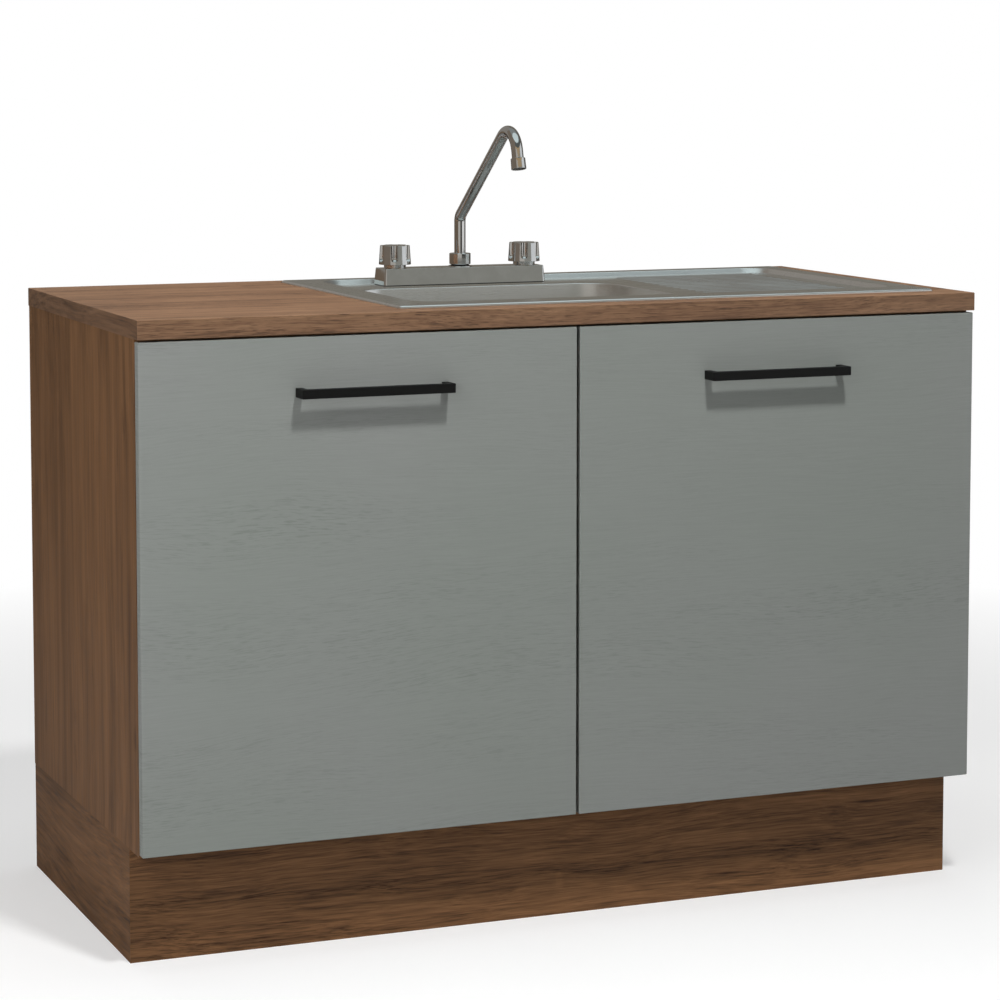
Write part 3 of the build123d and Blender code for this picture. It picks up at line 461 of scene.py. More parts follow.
def door_foil():
    """Sage grey foil with fine embossed grain lines that run across the door."""
    finish = Finish("door_foil", specular_ior_level=0.3)
    bench = finish.bench
    place = finish.place
    sway = bench.noise(bench.turned(place, (1.4, 1.0, 4.0)), detail=2.0)
    lifted = bench.add("ShaderNodeCombineXYZ", {2: bench.spread(sway, 0.3, 0.7, -0.02, 0.02)})
    flow = bench.add("ShaderNodeVectorMath", {0: place, 1: lifted.outputs[0]}, operation="ADD").outputs[0]
    lines = bench.noise(bench.turned(flow, (14.0, 14.0, 560.0)), detail=3.0, roughness=0.65)
    dashes = bench.noise(bench.turned(flow, (60.0, 60.0, 1150.0), location=(3, 1, 7)), detail=1.0)
    patch = bench.noise(bench.turned(flow, (2.2, 2.2, 14.0)), detail=3.0)
    gathered = bench.math("MULTIPLY", bench.spread(dashes, 0.52, 0.70), bench.spread(patch, 0.40, 0.70))
    cloud = bench.noise(place, scale=2.6, detail=1.0)
    base = bench.ramp(cloud, (0.35, srgb(139, 144, 139)), (0.65, srgb(142, 145, 142)))
    shade = bench.mix(bench.spread(lines, 0.35, 0.75, 0.0, 0.14), base, srgb(98, 102, 98))
    finish.feed(base_color=bench.mix(bench.math("MULTIPLY", gathered, 0.3), shade, srgb(88, 92, 88)))
    finish.feed(roughness=bench.spread(lines, 0.3, 0.7, 0.46, 0.58))
    height = bench.math("SUBTRACT", lines, bench.math("MULTIPLY", gathered, 0.8))
    finish.bump(height, 0.10 * MM, 0.6)
    return finish.material


def brushed_steel(name, along, density, base, rough_shift=0.0):
    """Brushed stainless steel with its lines along one axis."""
    finish = Finish(name, metallic=1.0, anisotropic=0.35)
    vector = finish.bench.turned(finish.place, rotation=GRAIN_TURN[along])
    lines = finish.use_group(BRUSHED_LINES, {"Vector": vector, "Line Density": density, "Wear": 0.12})
    bench = finish.bench
    finish.feed(base_color=bench.mix(lines["Shade"], srgb(140, 136, 133), base))
    finish.feed(roughness=bench.math("ADD", lines["Roughness"], rough_shift, clamp=True))
    finish.bump(lines["Height"], 0.01 * MM, 0.08)
    return finish.material


def chrome():
    """Polished chrome with faint smears."""
    finish = Finish("chrome", metallic=1.0)
    bench = finish.bench
    smear = bench.noise(finish.place, scale=38.0, detail=3.0, roughness=0.6, distortion=0.6)
    finish.feed(base_color=bench.ramp(smear, (0.3, srgb(196, 195, 192)), (0.7, srgb(206, 205, 203))))
    finish.feed(roughness=bench.spread(smear, 0.35, 0.75, 0.045, 0.11))
    waves = bench.noise(finish.place, scale=30.0, detail=1.0)
    finish.bump(waves, 0.02 * MM, 0.1)
    return finish.material


def speckled(name, colour, scale, rough, depth, variation=0.1, **constants):
    """Plain material with small spots, for cast, moulded, plated, foamed or coated pieces."""
    finish = Finish(name, **constants)
    inputs = {"Vector": finish.place, "Scale": scale, "Color": colour}
    inputs.update({"Variation": variation, "Roughness": rough})
    spots = finish.use_group(SPECKLE, inputs)
    finish.feed(base_color=spots["Color"], roughness=spots["Roughness"])
    finish.bump(spots["Height"], depth, 0.4)
    return finish.material


WORKTOP_TONES = (srgb(172, 134, 102), srgb(143, 107, 79), srgb(70, 48, 35))
CARCASS_TONES = (srgb(151, 110, 75), srgb(121, 87, 58), srgb(66, 46, 32))
CARCASS_GRAIN = {
    "stripe_strength": 1.0, "stave_strength": 0.0, "fibre_strength": 0.9, "figure_strength": 0.15,
    "pore_strength": 0.6, "pore_density": 22.0,
}
FINISHES = {
    # the worktop's edge shade darkens its edges as painted shade
    "worktop": walnut(
        "worktop_walnut", "x", *WORKTOP_TONES, sheen=0.4, stripe_strength=0.8, stave_strength=0.12,
        fibre_strength=0.9, figure_strength=0.1, pore_strength=0.8, pore_density=52.0, edge_shade=0.72,
        edge_rows=0.5,
    ),
    "grain_x": walnut("walnut_across", "x", *CARCASS_TONES, **CARCASS_GRAIN),
    "grain_y": walnut("walnut_deep", "y", *CARCASS_TONES, **CARCASS_GRAIN),
    "grain_z": walnut(
        "walnut_upright", "z", *CARCASS_TONES, stripe_strength=1.15, stave_strength=0.0,
        fibre_strength=0.5, figure_strength=0.3, pore_strength=0.2, pore_density=14.0,
    ),
    "softwood": walnut(
        "sawn_softwood", "z", srgb(222, 190, 146), srgb(205, 170, 124), srgb(160, 122, 80),
        stave_strength=0.0, figure_strength=0.0,
    ),
    "hardboard": speckled("hardboard", srgb(140, 106, 76), 900.0, 0.7, 0.1 * MM, 0.25),
    "door": door_foil(),
    "handle": speckled(
        "black_powder_coat", srgb(13, 13, 12), 1400.0, 0.55, 0.04 * MM, 0.3, specular_ior_level=0.2
    ),
    "sink": brushed_steel("sink_steel", "x", 1400.0, srgb(226, 225, 222)),
    "basket": brushed_steel("basket_steel", "x", 2200.0, srgb(198, 196, 194), -0.08),
    "chrome": chrome(),
    "zinc": speckled("zinc_plate", srgb(190, 192, 196), 700.0, 0.32, 0.03 * MM, 0.15, metallic=1.0),
    "brass": speckled("cast_brass", srgb(196, 160, 92), 500.0, 0.38, 0.06 * MM, 0.2, metallic=1.0),
    "rubber": speckled("black_rubber", srgb(34, 34, 35), 600.0, 0.75, 0.05 * MM, 0.2),
    "foam": speckled("grey_foam", srgb(70, 70, 72), 1600.0, 0.95, 0.2 * MM, 0.3),
    "white_plastic": speckled("white_plastic", srgb(226, 226, 221), 500.0, 0.38, 0.03 * MM, 0.06),
    "grey_plastic": speckled("grey_plastic", srgb(92, 93, 96), 500.0, 0.45, 0.03 * MM, 0.12),
    "clear_plastic": speckled(
        "clear_plastic", srgb(214, 214, 208), 300.0, 0.25, 0.02 * MM, 0.05, subsurface_weight=0.2
    ),
}

CAD_FINISH = {
    "worktop": ["worktop"],
    "grain_z": ["side_panel_right", "side_panel_left", "centre_stile"],
    "grain_x": ["bottom_panel", "front_rail", "rear_rail", "plinth_front", "plinth_rear"],
    "grain_y": ["plinth_side_right", "plinth_side_left", "plinth_support"],
    "softwood": ["plinth_corner_blocks"],
    "hardboard": ["back_panel"],
    "door": ["door_panel_left", "door_panel_right"],
    "handle": ["handle_left", "handle_right"],
    "sink": ["sink", "waste_body"],
    "basket": ["strainer_basket"],
    "chrome": ["tap_base", "spout_collar", "spout_nut", "spout_tube", "aerator", "knob_left", "knob_right"],
    "zinc": [
        "cam_discs", "worktop_brackets", "sink_clips", "handle_screws_left", "handle_screws_right",
        "hinge_cups_left", "hinge_cups_right", "hinge_arms_left", "hinge_arms_right",
        "hinge_plates_left", "hinge_plates_right",
    ],
    "brass": ["tap_waterway", "inlet_tails", "tap_nuts", "valve_bonnets", "spindle_left", "spindle_right"],
    "rubber": ["waste_gasket", "tap_gasket"],
    "foam": ["sink_seal"],
    "white_plastic": [
        "trap_inlet_nut", "trap_inlet_tube", "trap_body", "trap_neck_nut", "trap_cup", "outlet_pipe",
        "outlet_nut",
    ],
    "grey_plastic": ["aerator_screen", "waste_locknut"],
    "clear_plastic": ["door_bumpers_left", "door_bumpers_right"],
}


def finish_cad_nodes():
    """Gives every CAD node its finish."""
    for finish, nodes in CAD_FINISH.items():
        for node in nodes:
            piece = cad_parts[node]
            if not piece.material_slots:
                piece.data.materials.append(None)
            for slot in piece.material_slots:
                slot.material = FINISHES[finish]


# ---- mesh helpers ----
def mesh_piece(name, points, faces, sharp_angle=None):
    """Smooth-shaded mesh object at the origin."""
    mesh = bpy.data.meshes.new(name)
    mesh.from_pydata([tuple(point) for point in points], [], faces)
    mesh.validate()
    tidy_mesh(mesh, sharp_angle)
    piece = bpy.data.objects.new(name, mesh)
    bpy.context.scene.collection.objects.link(piece)
    return piece


def tidy_mesh(mesh, sharp_angle=None):
    """Merges doubles, turns the faces outwards and shades them smooth."""
    bm = bmesh.new()
    bm.from_mesh(mesh)
    bmesh.ops.remove_doubles(bm, verts=bm.verts, dist=MERGE_DISTANCE)
    bmesh.ops.recalc_face_normals(bm, faces=bm.faces)
    bm.to_mesh(mesh)
    bm.free()
    mesh.shade_smooth()
    if sharp_angle is not None:
        mesh.set_sharp_from_angle(angle=sharp_angle)


def dress(piece, body, finish, slot, *nodes):
    """Seats a finished piece on its body in place of the CAD nodes."""
    piece.data.materials.clear()
    piece.data.materials.append(FINISHES[finish])
    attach(piece, body)
    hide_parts(*nodes)


def bridged(loops, closed_start=False, closed_end=False):
    """Points and faces of a skin through loops that have the same number of points."""
    count = len(loops[0])
    points = [point for loop in loops for point in loop]
    faces = []
    for row in range(len(loops) - 1):
        for i in range(count):
            j = (i + 1) % count
            low, high = row * count, (row + 1) * count
            faces.append((low + i, low + j, high + j, high + i))
    if closed_start:
        faces.append(tuple(reversed(range(count))))
    if closed_end:
        faces.append(tuple(range((len(loops) - 1) * count, len(loops) * count)))
    return points, faces


def softened(corners, radius, steps=5):
    """Open 2D line with its inner corners rounded; radius is one value or one for each corner."""
    radii = radius if isinstance(radius, (list, tuple)) else [radius] * (len(corners) - 2)
    line = [Vector(corners[0])]
    for before, corner, after, r in zip(corners, corners[1:], corners[2:], radii):
        corner = Vector(corner)
        back, ahead = Vector(before) - corner, Vector(after) - corner
        turn = math.pi - back.angle(ahead)
        room = ROUNDING_SHARE * min(back.length, ahead.length)
        reach = min(r * math.tan(turn / 2), room)
        start, end = corner + back.normalized() * reach, corner + ahead.normalized() * reach
        for i in range(steps + 1):
            t = i / steps
            line.append(start.lerp(corner, t).lerp(corner.lerp(end, t), t))
    line.append(Vector(corners[-1]))
    return line


def lathe(name, line, centre, segments=96, sharp_angle=math.radians(35)):
    """Turned piece about a vertical axis from a line of (radius, height), closed on itself."""
    loops = []
    for radius, height in line:
        loops.append(
            [
                centre + Vector((radius * math.cos(a), radius * math.sin(a), height))
                for a in (i * math.tau / segments for i in range(segments))
            ]
        )
    loops.append(loops[0])
    return mesh_piece(name, *bridged(loops), sharp_angle)


def rounded_outline(low, high, radius, z, steps=14):
    """Rounded rectangle between two XY corners, anticlockwise from its right-hand front corner."""
    points = []
    quarters = [
        (high.x - radius, low.y + radius, -QUARTER),
        (high.x - radius, high.y - radius, 0),
        (low.x + radius, high.y - radius, QUARTER),
        (low.x + radius, low.y + radius, 2 * QUARTER),
    ]
    for x, y, start in quarters:
        for i in range(steps + 1):
            a = start + QUARTER * i / steps
            points.append(Vector((x + radius * math.cos(a), y + radius * math.sin(a), z)))
    return points


def inset_outlines(low, high, corner, line):
    """Outlines of a rounded rectangle drawn in by each inset of a line of (inset, height)."""
    loops = []
    for inset, z in line:
        shift = Vector((inset, inset))
        radius = max(corner - inset, LEAST_RADIUS)
        loops.append(rounded_outline(low.xy + shift, high.xy - shift, radius, z))
    return loops


# ---- sink ----
def sink_skin():
    """Pressed sink sheet: sloping lip, flat rim, sunken deck and bowl, with soft edges."""
    top = SINK_HIGH.z
    loops = inset_outlines(
        SINK_LOW, SINK_HIGH, SINK_CORNER,
        softened([(0, WORKTOP_TOP), (LIP_SLOPE, top), (LIP_SLOPE * LIP_FLAT, top)], PRESS_RADIUS),
    )
    deck_low = Vector((SINK_LOW.x + RIM_WIDTH["left"], SINK_LOW.y + RIM_WIDTH["front"]))
    deck_high = Vector((SINK_HIGH.x - RIM_WIDTH["right"], SINK_HIGH.y - RIM_WIDTH["back"]))
    step = [
        (-DECK_STEP_BACK, top), (0, top), (DECK_SLOPE, DECK_Z), (DECK_SLOPE + DECK_STEP_AHEAD, DECK_Z),
    ]
    # the last point is left out, so that the deck's foot stays clear of the bowl's lip
    loops += inset_outlines(deck_low, deck_high, DECK_CORNER, softened(step, PRESS_RADIUS)[:-1])
    bowl_low = Vector((SINK_LOW.x + BOWL_FROM_LEFT, SINK_LOW.y + BOWL_FROM_FRONT))
    bowl_high = bowl_low + Vector(BOWL_SIZE)
    well = [
        (BOWL_LIP_START, DECK_Z),
        (0, DECK_Z),
        (BOWL_DRAFT, BOWL_FLOOR),
        (BOWL_DRAFT + BOWL_FLOOR_RADIUS + BOWL_FLOOR_REACH, BOWL_FLOOR),
    ]
    radii = [BOWL_LIP_RADIUS, BOWL_FLOOR_RADIUS * BOWL_FLOOR_SOFTNESS]
    # the first point is left out, so that the lip starts where its rounding does
    loops += inset_outlines(bowl_low, bowl_high, BOWL_CORNER, softened(well, radii, BOWL_STEPS)[1:])
    centre = (bowl_low + bowl_high) / 2
    hole = Vector((WASTE_HOLE, WASTE_HOLE))
    loops.append(rounded_outline(centre - hole, centre + hole, WASTE_HOLE, BOWL_FLOOR))
    skin = mesh_piece("sink_sheet", *bridged(loops))
    wall = skin.modifiers.new("sheet_wall", "SOLIDIFY")
    wall.thickness = SHEET
    wall.offset = -1
    face_up(skin)
    return skin


def face_up(piece):
    """Turns an open sheet so that its faces look up and the wall grows below them."""
    mesh = piece.data
    upward = sum(face.normal.z * face.area for face in mesh.polygons)
    if upward < 0:
        mesh.flip_normals()


# ---- geometry nodes ----
class Pattern:
    """A Geometry Nodes tree with named inputs, run on a host mesh and made plain."""

    def __init__(self, name, inputs):
        self.tree = bpy.data.node_groups.new(name, "GeometryNodeTree")
        face = self.tree.interface
        face.new_socket("Geometry", in_out="INPUT", socket_type="NodeSocketGeometry")
        self.sockets = {}
        for label, kind in inputs.items():
            self.sockets[label] = face.new_socket(label, in_out="INPUT", socket_type=kind)
        face.new_socket("Geometry", in_out="OUTPUT", socket_type="NodeSocketGeometry")
        self.bench = Bench(self.tree)
        self.given = self.bench.add("NodeGroupInput").outputs
        self.result = self.bench.add("NodeGroupOutput")

    def close(self, geometry):
        """Ends the tree: real geometry, smooth shading and material."""
        real = self.bench.add("GeometryNodeRealizeInstances", {0: geometry}).outputs[0]
        smoothing = {"Geometry": real, "Shade Smooth": True}
        smooth = self.bench.add("GeometryNodeSetShadeSmooth", smoothing).outputs[0]
        coating = {"Geometry": smooth, "Material": self.given["Material"]}
        coat = self.bench.add("GeometryNodeSetMaterial", coating).outputs[0]
        self.tree.links.new(coat, self.result.inputs[0])

    def make(self, name, host, values):
        """Plain mesh object of the tree's result on the host, which is removed."""
        modifier = host.modifiers.new(self.tree.name, "NODES")
        modifier.node_group = self.tree
        for label, value in values.items():
            modifier[self.sockets[label].identifier] = value
        bpy.context.view_layer.update()
        graph = bpy.context.evaluated_depsgraph_get()
        mesh = bpy.data.meshes.new_from_object(host.evaluated_get(graph), depsgraph=graph)
        mesh.name = name
        bpy.data.objects.remove(host)
        piece = bpy.data.objects.new(name, mesh)
        bpy.context.scene.collection.objects.link(piece)
        return piece


def empty_host():
    """Object with an empty mesh to run a pattern on."""
    host = bpy.data.objects.new("pattern_host", bpy.data.meshes.new("pattern_host"))
    bpy.context.scene.collection.objects.link(host)
    return host


WHOLE, MATERIAL = "NodeSocketInt", "NodeSocketMaterial"


def drainer_ribs():
    """Raised beads of the drainer: one soft bead repeated at the pitch."""
    pattern = Pattern(
        "drainer_bead_row",
        {
            "Count": WHOLE, "Pitch": FLOAT, "Length": FLOAT, "Width": FLOAT, "Height": FLOAT,
            "Sunk": FLOAT, "Start": VECTOR, "Material": MATERIAL,
        },
    )
    bench, given = pattern.bench, pattern.given
    sheet_size = {"Size X": given["Length"], "Size Y": given["Width"]}
    sheet_size.update({"Vertices X": RIB_POINTS_ALONG, "Vertices Y": RIB_POINTS_ACROSS})
    sheet = bench.add("GeometryNodeMeshGrid", sheet_size)
    place = bench.add("ShaderNodeSeparateXYZ", {0: bench.add("GeometryNodeInputPosition").outputs[0]})
    half_width = bench.math("MULTIPLY", given["Width"], 0.5)
    straight = bench.math("SUBTRACT", bench.math("MULTIPLY", given["Length"], 0.5), half_width)
    beyond = bench.math("SUBTRACT", bench.math("ABSOLUTE", place.outputs[0]), straight)
    past_end = bench.math("MAXIMUM", beyond)
    across = bench.math("MULTIPLY", place.outputs[1], place.outputs[1])
    distance = bench.math("SQRT", bench.math("ADD", bench.math("MULTIPLY", past_end, past_end), across))
    share = bench.math("MINIMUM", bench.math("DIVIDE", distance, half_width), 1.0)
    crown = bench.math("ADD", 1.0, bench.math("COSINE", bench.math("MULTIPLY", share, math.pi)))
    rise = bench.math("MULTIPLY", bench.math("MULTIPLY", crown, 0.5), given["Height"])
    lifted = bench.add("ShaderNodeCombineXYZ", {2: bench.math("SUBTRACT", rise, given["Sunk"])})
    moved = {"Geometry": sheet.outputs[0], "Offset": lifted.outputs[0]}
    bead = bench.add("GeometryNodeSetPosition", moved).outputs[0]
    step = bench.add("ShaderNodeCombineXYZ", {1: given["Pitch"]}).outputs[0]
    start = {"Count": given["Count"], "Start Location": given["Start"], "Offset": step}
    row = bench.add("GeometryNodeMeshLine", start).outputs[0]
    copies = bench.add("GeometryNodeInstanceOnPoints", {"Points": row, "Instance": bead}).outputs[0]
    pattern.close(copies)
    start_x = SINK_LOW.x + BOWL_FROM_LEFT + BOWL_SIZE[0] + RIB_START
    end_x = SINK_HIGH.x - RIM_WIDTH["right"] - RIB_END_MARGIN
    first_y = SINK_LOW.y + RIM_WIDTH["front"] + RIB_FRONT_MARGIN
    room = SINK_HIGH.y - RIM_WIDTH["back"] - RIB_FRONT_MARGIN / 2 - first_y
    values = {
        "Count": int(room // RIB_PITCH) + 1, "Pitch": RIB_PITCH, "Length": end_x - start_x,
        "Width": RIB_WIDTH, "Height": RIB_HEIGHT + RIB_SINK_IN, "Sunk": RIB_SINK_IN,
        "Start": ((start_x + end_x) / 2, first_y, DECK_Z), "Material": FINISHES["sink"],
    }
    return pattern.make("drainer_ribs", empty_host(), values)


def spout_line():
    """Corners of the spout's centre line: foot, elbow, crown and mouth."""
    foot = Vector((BASE_MIDDLE.x, BASE_MIDDLE.y, BASE_HIGH.z - SPOUT_FOOT_DROP))
    elbow = Vector((foot.x, foot.y, BASE_HIGH.z + SPOUT_ELBOW_RISE))
    along = Vector((0, -math.cos(SPOUT_INCLINE), math.sin(SPOUT_INCLINE)))
    crown = elbow + along * SPOUT_INCLINE_LENGTH
    mouth = crown - Vector((0, math.sin(SPOUT_LEAN), math.cos(SPOUT_LEAN))) * SPOUT_END_LENGTH
    return foot, elbow, crown, mouth


def spout():
    """Bent tube swept along its centre line."""
    pattern = Pattern(
        "bent_tube",
        {"Tube Radius": FLOAT, "Elbow Radius": FLOAT, "Bend Radius": FLOAT, "Material": MATERIAL},
    )
    bench, given = pattern.bench, pattern.given
    index = bench.add("GeometryNodeInputIndex").outputs[0]
    is_elbow = bench.math("LESS_THAN", index, 1.5)
    difference = bench.math("SUBTRACT", given["Elbow Radius"], given["Bend Radius"])
    radius = bench.math("ADD", given["Bend Radius"], bench.math("MULTIPLY", difference, is_elbow))
    bends = {"Curve": given["Geometry"], "Radius": radius, "Count": BEND_STEPS}
    bent = bench.add("GeometryNodeFilletCurve", bends, mode="POLY").outputs[0]
    profile = {"Resolution": TUBE_SIDES, "Radius": given["Tube Radius"]}
    ring = bench.add("GeometryNodeCurvePrimitiveCircle", profile).outputs[0]
    tube = bench.add("GeometryNodeCurveToMesh", {"Curve": bent, "Profile Curve": ring}).outputs[0]
    pattern.close(tube)
    curve = bpy.data.curves.new("spout_line", "CURVE")
    curve.dimensions = "3D"
    line = curve.splines.new("POLY")
    corners = spout_line()
    line.points.add(len(corners) - 1)
    for point, corner in zip(line.points, corners):
        point.co = (*corner, 1)
    host = bpy.data.objects.new("spout_line", curve)
    bpy.context.scene.collection.objects.link(host)
    values = {"Tube Radius": SPOUT_RADIUS, "Elbow Radius": SPOUT_ELBOW_RADIUS}
    values.update({"Bend Radius": SPOUT_BEND_RADIUS, "Material": FINISHES["chrome"]})
    return pattern.make("spout_pipe", host, values)


# ---- tap ----
def base_cover():
    """Chrome cover of the tap: straight sides, rounded corners and a soft upper edge."""
    line = softened(
        [
            (0, BASE_LOW.z), (TAP_BASE_DRAFT, BASE_HIGH.z),
            (TAP_BASE_DRAFT + TAP_BASE_EDGE * TAP_BASE_FLAT, BASE_HIGH.z),
        ],
        TAP_BASE_EDGE, TAP_BASE_EDGE_STEPS,
    )
    loops = inset_outlines(BASE_LOW, BASE_HIGH, TAP_BASE_CORNER, line)
    return mesh_piece("tap_cover", *bridged(loops, closed_end=True), math.radians(40))


def fluted_knob(name, node):
    """Round head with six grooves that end in half balls, on a narrower core."""
    low, high, middle = box_of(node)
    base = Vector((middle.x, middle.y, 0))
    skirt = high.z - KNOB_HEAD
    end = skirt + FLUTE_END
    edge_z = high.z - KNOB_EDGE
    side_foot = skirt + KNOB_EDGE / 2
    levels = [(KNOB_CORE, low.z), (KNOB_CORE, skirt), (KNOB_SKIRT - KNOB_EDGE / 2, skirt)]
    for i in range(KNOB_RISE_STEPS + 1):
        t = i / KNOB_RISE_STEPS
        levels.append((KNOB_SKIRT + (KNOB_TOP - KNOB_SKIRT) * t, side_foot + (edge_z - side_foot) * t))
    for i in range(1, KNOB_EDGE_STEPS + 1):
        a = QUARTER * i / KNOB_EDGE_STEPS
        levels.append((KNOB_TOP - KNOB_EDGE + KNOB_EDGE * math.cos(a), edge_z + KNOB_EDGE * math.sin(a)))
    levels.append((KNOB_TOP - 4 * KNOB_EDGE, high.z))
    flute_turn = math.tau / FLUTES
    loops = []
    for radius, z in levels:
        below = max(end - z, 0)
        depth = math.sqrt(max(FLUTE_RADIUS**2 - below**2, 0))
        loop = []
        for i in range(KNOB_SEGMENTS):
            a = i * math.tau / KNOB_SEGMENTS
            off = (a - FLUTE_TURN) % flute_turn
            off = min(off, flute_turn - off)
            reach = radius
            side = FLUTE_CENTRE * math.sin(off)
            if z > skirt and side < depth:
                reach = min(radius, FLUTE_CENTRE * math.cos(off) - math.sqrt(depth**2 - side**2))
            loop.append(base + Vector((reach * math.cos(a), reach * math.sin(a), z)))
        loops.append(loop)
    return mesh_piece(name, *bridged(loops, closed_start=True, closed_end=True), math.radians(32))


def spout_ring():
    """Thin flared ring on the cover round the spout's socket."""
    low, high, middle = box_of("spout_collar")
    outer = (high.x - low.x) / 2
    inner = outer * RING_BORE_SHARE
    height = high.z - low.z
    flare = [(outer, 0), (outer, height * RING_FLARE_SHARE), (outer * RING_TOP_SHARE, height)]
    line = [(inner, 0)] + softened(flare, RING_EASE) + [(inner, height)]
    return lathe("spout_ring", line, Vector((middle.x, middle.y, low.z)))


def shadow_gap_seal():
    """Black rubber ring in the gap between the flared ring and the spout's nut; its black also stands in
    for the shadow in that gap, as painted shade.
    """
    foot = box_of("spout_collar")[1].z
    nut_low, _, middle = box_of("spout_nut")
    height = nut_low.z - foot
    corners = [(SEAL_INNER, 0), (SEAL_OUTER, 0), (SEAL_OUTER, height), (SEAL_INNER, height)]
    return lathe("shadow_gap_seal", softened(corners, SEAL_EASE), Vector((middle.x, middle.y, foot)))


def facetted_nut():
    """Nut under the spout: flat facets with softened corners and eased ends."""
    low, high, middle = box_of("spout_nut")
    outer = (high.x - low.x) / 2
    line = [(SPOUT_RADIUS, low.z), (outer - NUT_EASE, low.z), (outer, low.z + NUT_EASE)]
    line += [(outer, high.z - NUT_EASE), (outer - NUT_EASE, high.z), (SPOUT_RADIUS, high.z)]
    loops = []
    for radius, z in line:
        loop = []
        for i in range(NUT_SIDES):
            a = (i + 0.5) * math.tau / NUT_SIDES
            loop.append(Vector((middle.x + radius * math.cos(a), middle.y + radius * math.sin(a), z)))
        loops.append(loop)
    loops.append(loops[0])
    return mesh_piece("spout_nut_facets", *bridged(loops), math.radians(15))


def at_mouth():
    """Place of the spout's mouth with Z pointing back up the tube."""
    _, _, crown, mouth = spout_line()
    up = (crown - mouth).normalized()
    side = Vector((1, 0, 0))
    turn = Matrix((side, up.cross(side), up)).transposed().to_4x4()
    return Matrix.Translation(mouth) @ turn


def aerator_cup():
    """Aerator housing: a short band that opens slightly towards its mouth."""
    low = AERATOR_INSERT - AERATOR_LENGTH
    bore = AERATOR_RADIUS - AERATOR_WALL
    ledge = AERATOR_INSERT - AERATOR_LEDGE
    line = softened(
        [
            (SPOUT_RADIUS, AERATOR_INSERT),
            (AERATOR_RADIUS * AERATOR_NECK_SHARE, AERATOR_INSERT),
            (AERATOR_RADIUS * AERATOR_BODY_SHARE, low + AERATOR_BODY_BAND),
            (AERATOR_RADIUS, low + AERATOR_MOUTH_BAND),
            (AERATOR_RADIUS, low), (bore, low), (bore, ledge), (SPOUT_RADIUS, ledge),
        ],
        AERATOR_EASE,
    )
    cup = lathe("aerator_cup", line, Vector((0, 0, 0)))
    cup.data.transform(at_mouth())
    return cup


# ---- waste ----
def waste_flange():
    """Polished strainer body: rolled flange, stepped cup and tail."""
    low, high, middle = box_of("waste_body")
    outer = (high.x - low.x) / 2
    top = high.z - low.z
    floor = BOWL_FLOOR - low.z
    cup_floor = floor - WASTE_CUP_DROP
    cup_under = cup_floor - WASTE_WALL
    bore = WASTE_TAIL - WASTE_WALL
    line = softened(
        [
            (outer, floor), (outer, floor + WASTE_FLANGE_EDGE), (outer - WASTE_FLANGE_SLOPE, top),
            (WASTE_MOUTH_TOP, top), (WASTE_MOUTH, floor - WASTE_MOUTH_DROP),
            (WASTE_SEAT, floor - WASTE_SEAT_DROP), (WASTE_SEAT, cup_floor), (bore, cup_floor),
            (bore, 0), (WASTE_TAIL, 0), (WASTE_TAIL, cup_under), (WASTE_CUP, cup_under),
            (WASTE_CUP, floor), (outer - WASTE_EASE, floor),
        ],
        WASTE_EASE,
    )
    return lathe("strainer_body", line, Vector((middle.x, middle.y, low.z)))


finish_cad_nodes()
dress(sink_skin(), "cabinet", "sink", "sink_steel", "sink")
ribs = drainer_ribs()
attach(ribs, "cabinet")
dress(base_cover(), "cabinet", "chrome", "chrome", "tap_base")
dress(fluted_knob("fluted_knob_left", "knob_left"), "left_knob", "chrome", "chrome", "knob_left")
dress(fluted_knob("fluted_knob_right", "knob_right"), "right_knob", "chrome", "chrome", "knob_right")
dress(spout_ring(), "cabinet", "chrome", "chrome", "spout_collar")
# the ring's black rubber is partly painted shade for the dark gap under the nut
seal = shadow_gap_seal()
seal.data.materials.append(FINISHES["rubber"])
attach(seal, "cabinet")
dress(facetted_nut(), "cabinet", "chrome", "chrome", "spout_nut")
dress(spout(), "spout", "chrome", "chrome", "spout_tube")
dress(aerator_cup(), "spout", "chrome", "chrome", "aerator")
dress(waste_flange(), "cabinet", "basket", "sink_steel", "waste_body")


# ---- studio: lamps light the object, and cards that only gloss sees shape the reflections ----
AMBIENT = 0.12
KEY_FROM = Vector((0.0, -2.0, 3.4))
TOP_FROM = Vector((0.0, 0.3, 3.6))
FILL_FROM = Vector((-2.0, -1.4, 1.3))
AIM = Vector((0, -0.1, 0.6))
CARD_REACH = 4.5
CARD_STEPS = 24
CARD_FOOT = 0.02
CARD_TOP = 6.4
EYE_LINE = 1.0
WARM_LINE = 3.2
COOL_LINE = 3.8
CEILING_HALF = 4.6
CEILING_SPLIT = 0.6
FLOOR_REACH = 30.0
FLOOR_GLOW = 0.42
FADE_START = 1.2
FADE_END = 2.6
WHITE = (1, 1, 1, 1)


def only_in_gloss(piece, shade):
    """Makes a stage piece an even glow that nothing but gloss sees."""
    material = bpy.data.materials.new(piece.name)
    bench = fresh_bench(material)
    glow = bench.add("ShaderNodeEmission", {"Color": shade, "Strength": 1.0}).outputs[0]
    bench.add("ShaderNodeOutputMaterial", {0: glow})
    piece.data.materials.append(material)
    piece.visible_camera = False
    piece.visible_diffuse = False
    piece.visible_shadow = False
    piece.visible_transmission = False


def flat_corners(half, front, back, height):
    """Corners of a level rectangle, anticlockwise from above."""
    return [(-half, front, height), (half, front, height), (half, back, height), (-half, back, height)]


def ceiling_card(name, front, back, shade):
    """Flat card above the unit that only gloss sees."""
    corners = flat_corners(CEILING_HALF, front, back, CARD_TOP)
    only_in_gloss(mesh_piece(name, corners, [(0, 3, 2, 1)]), shade)


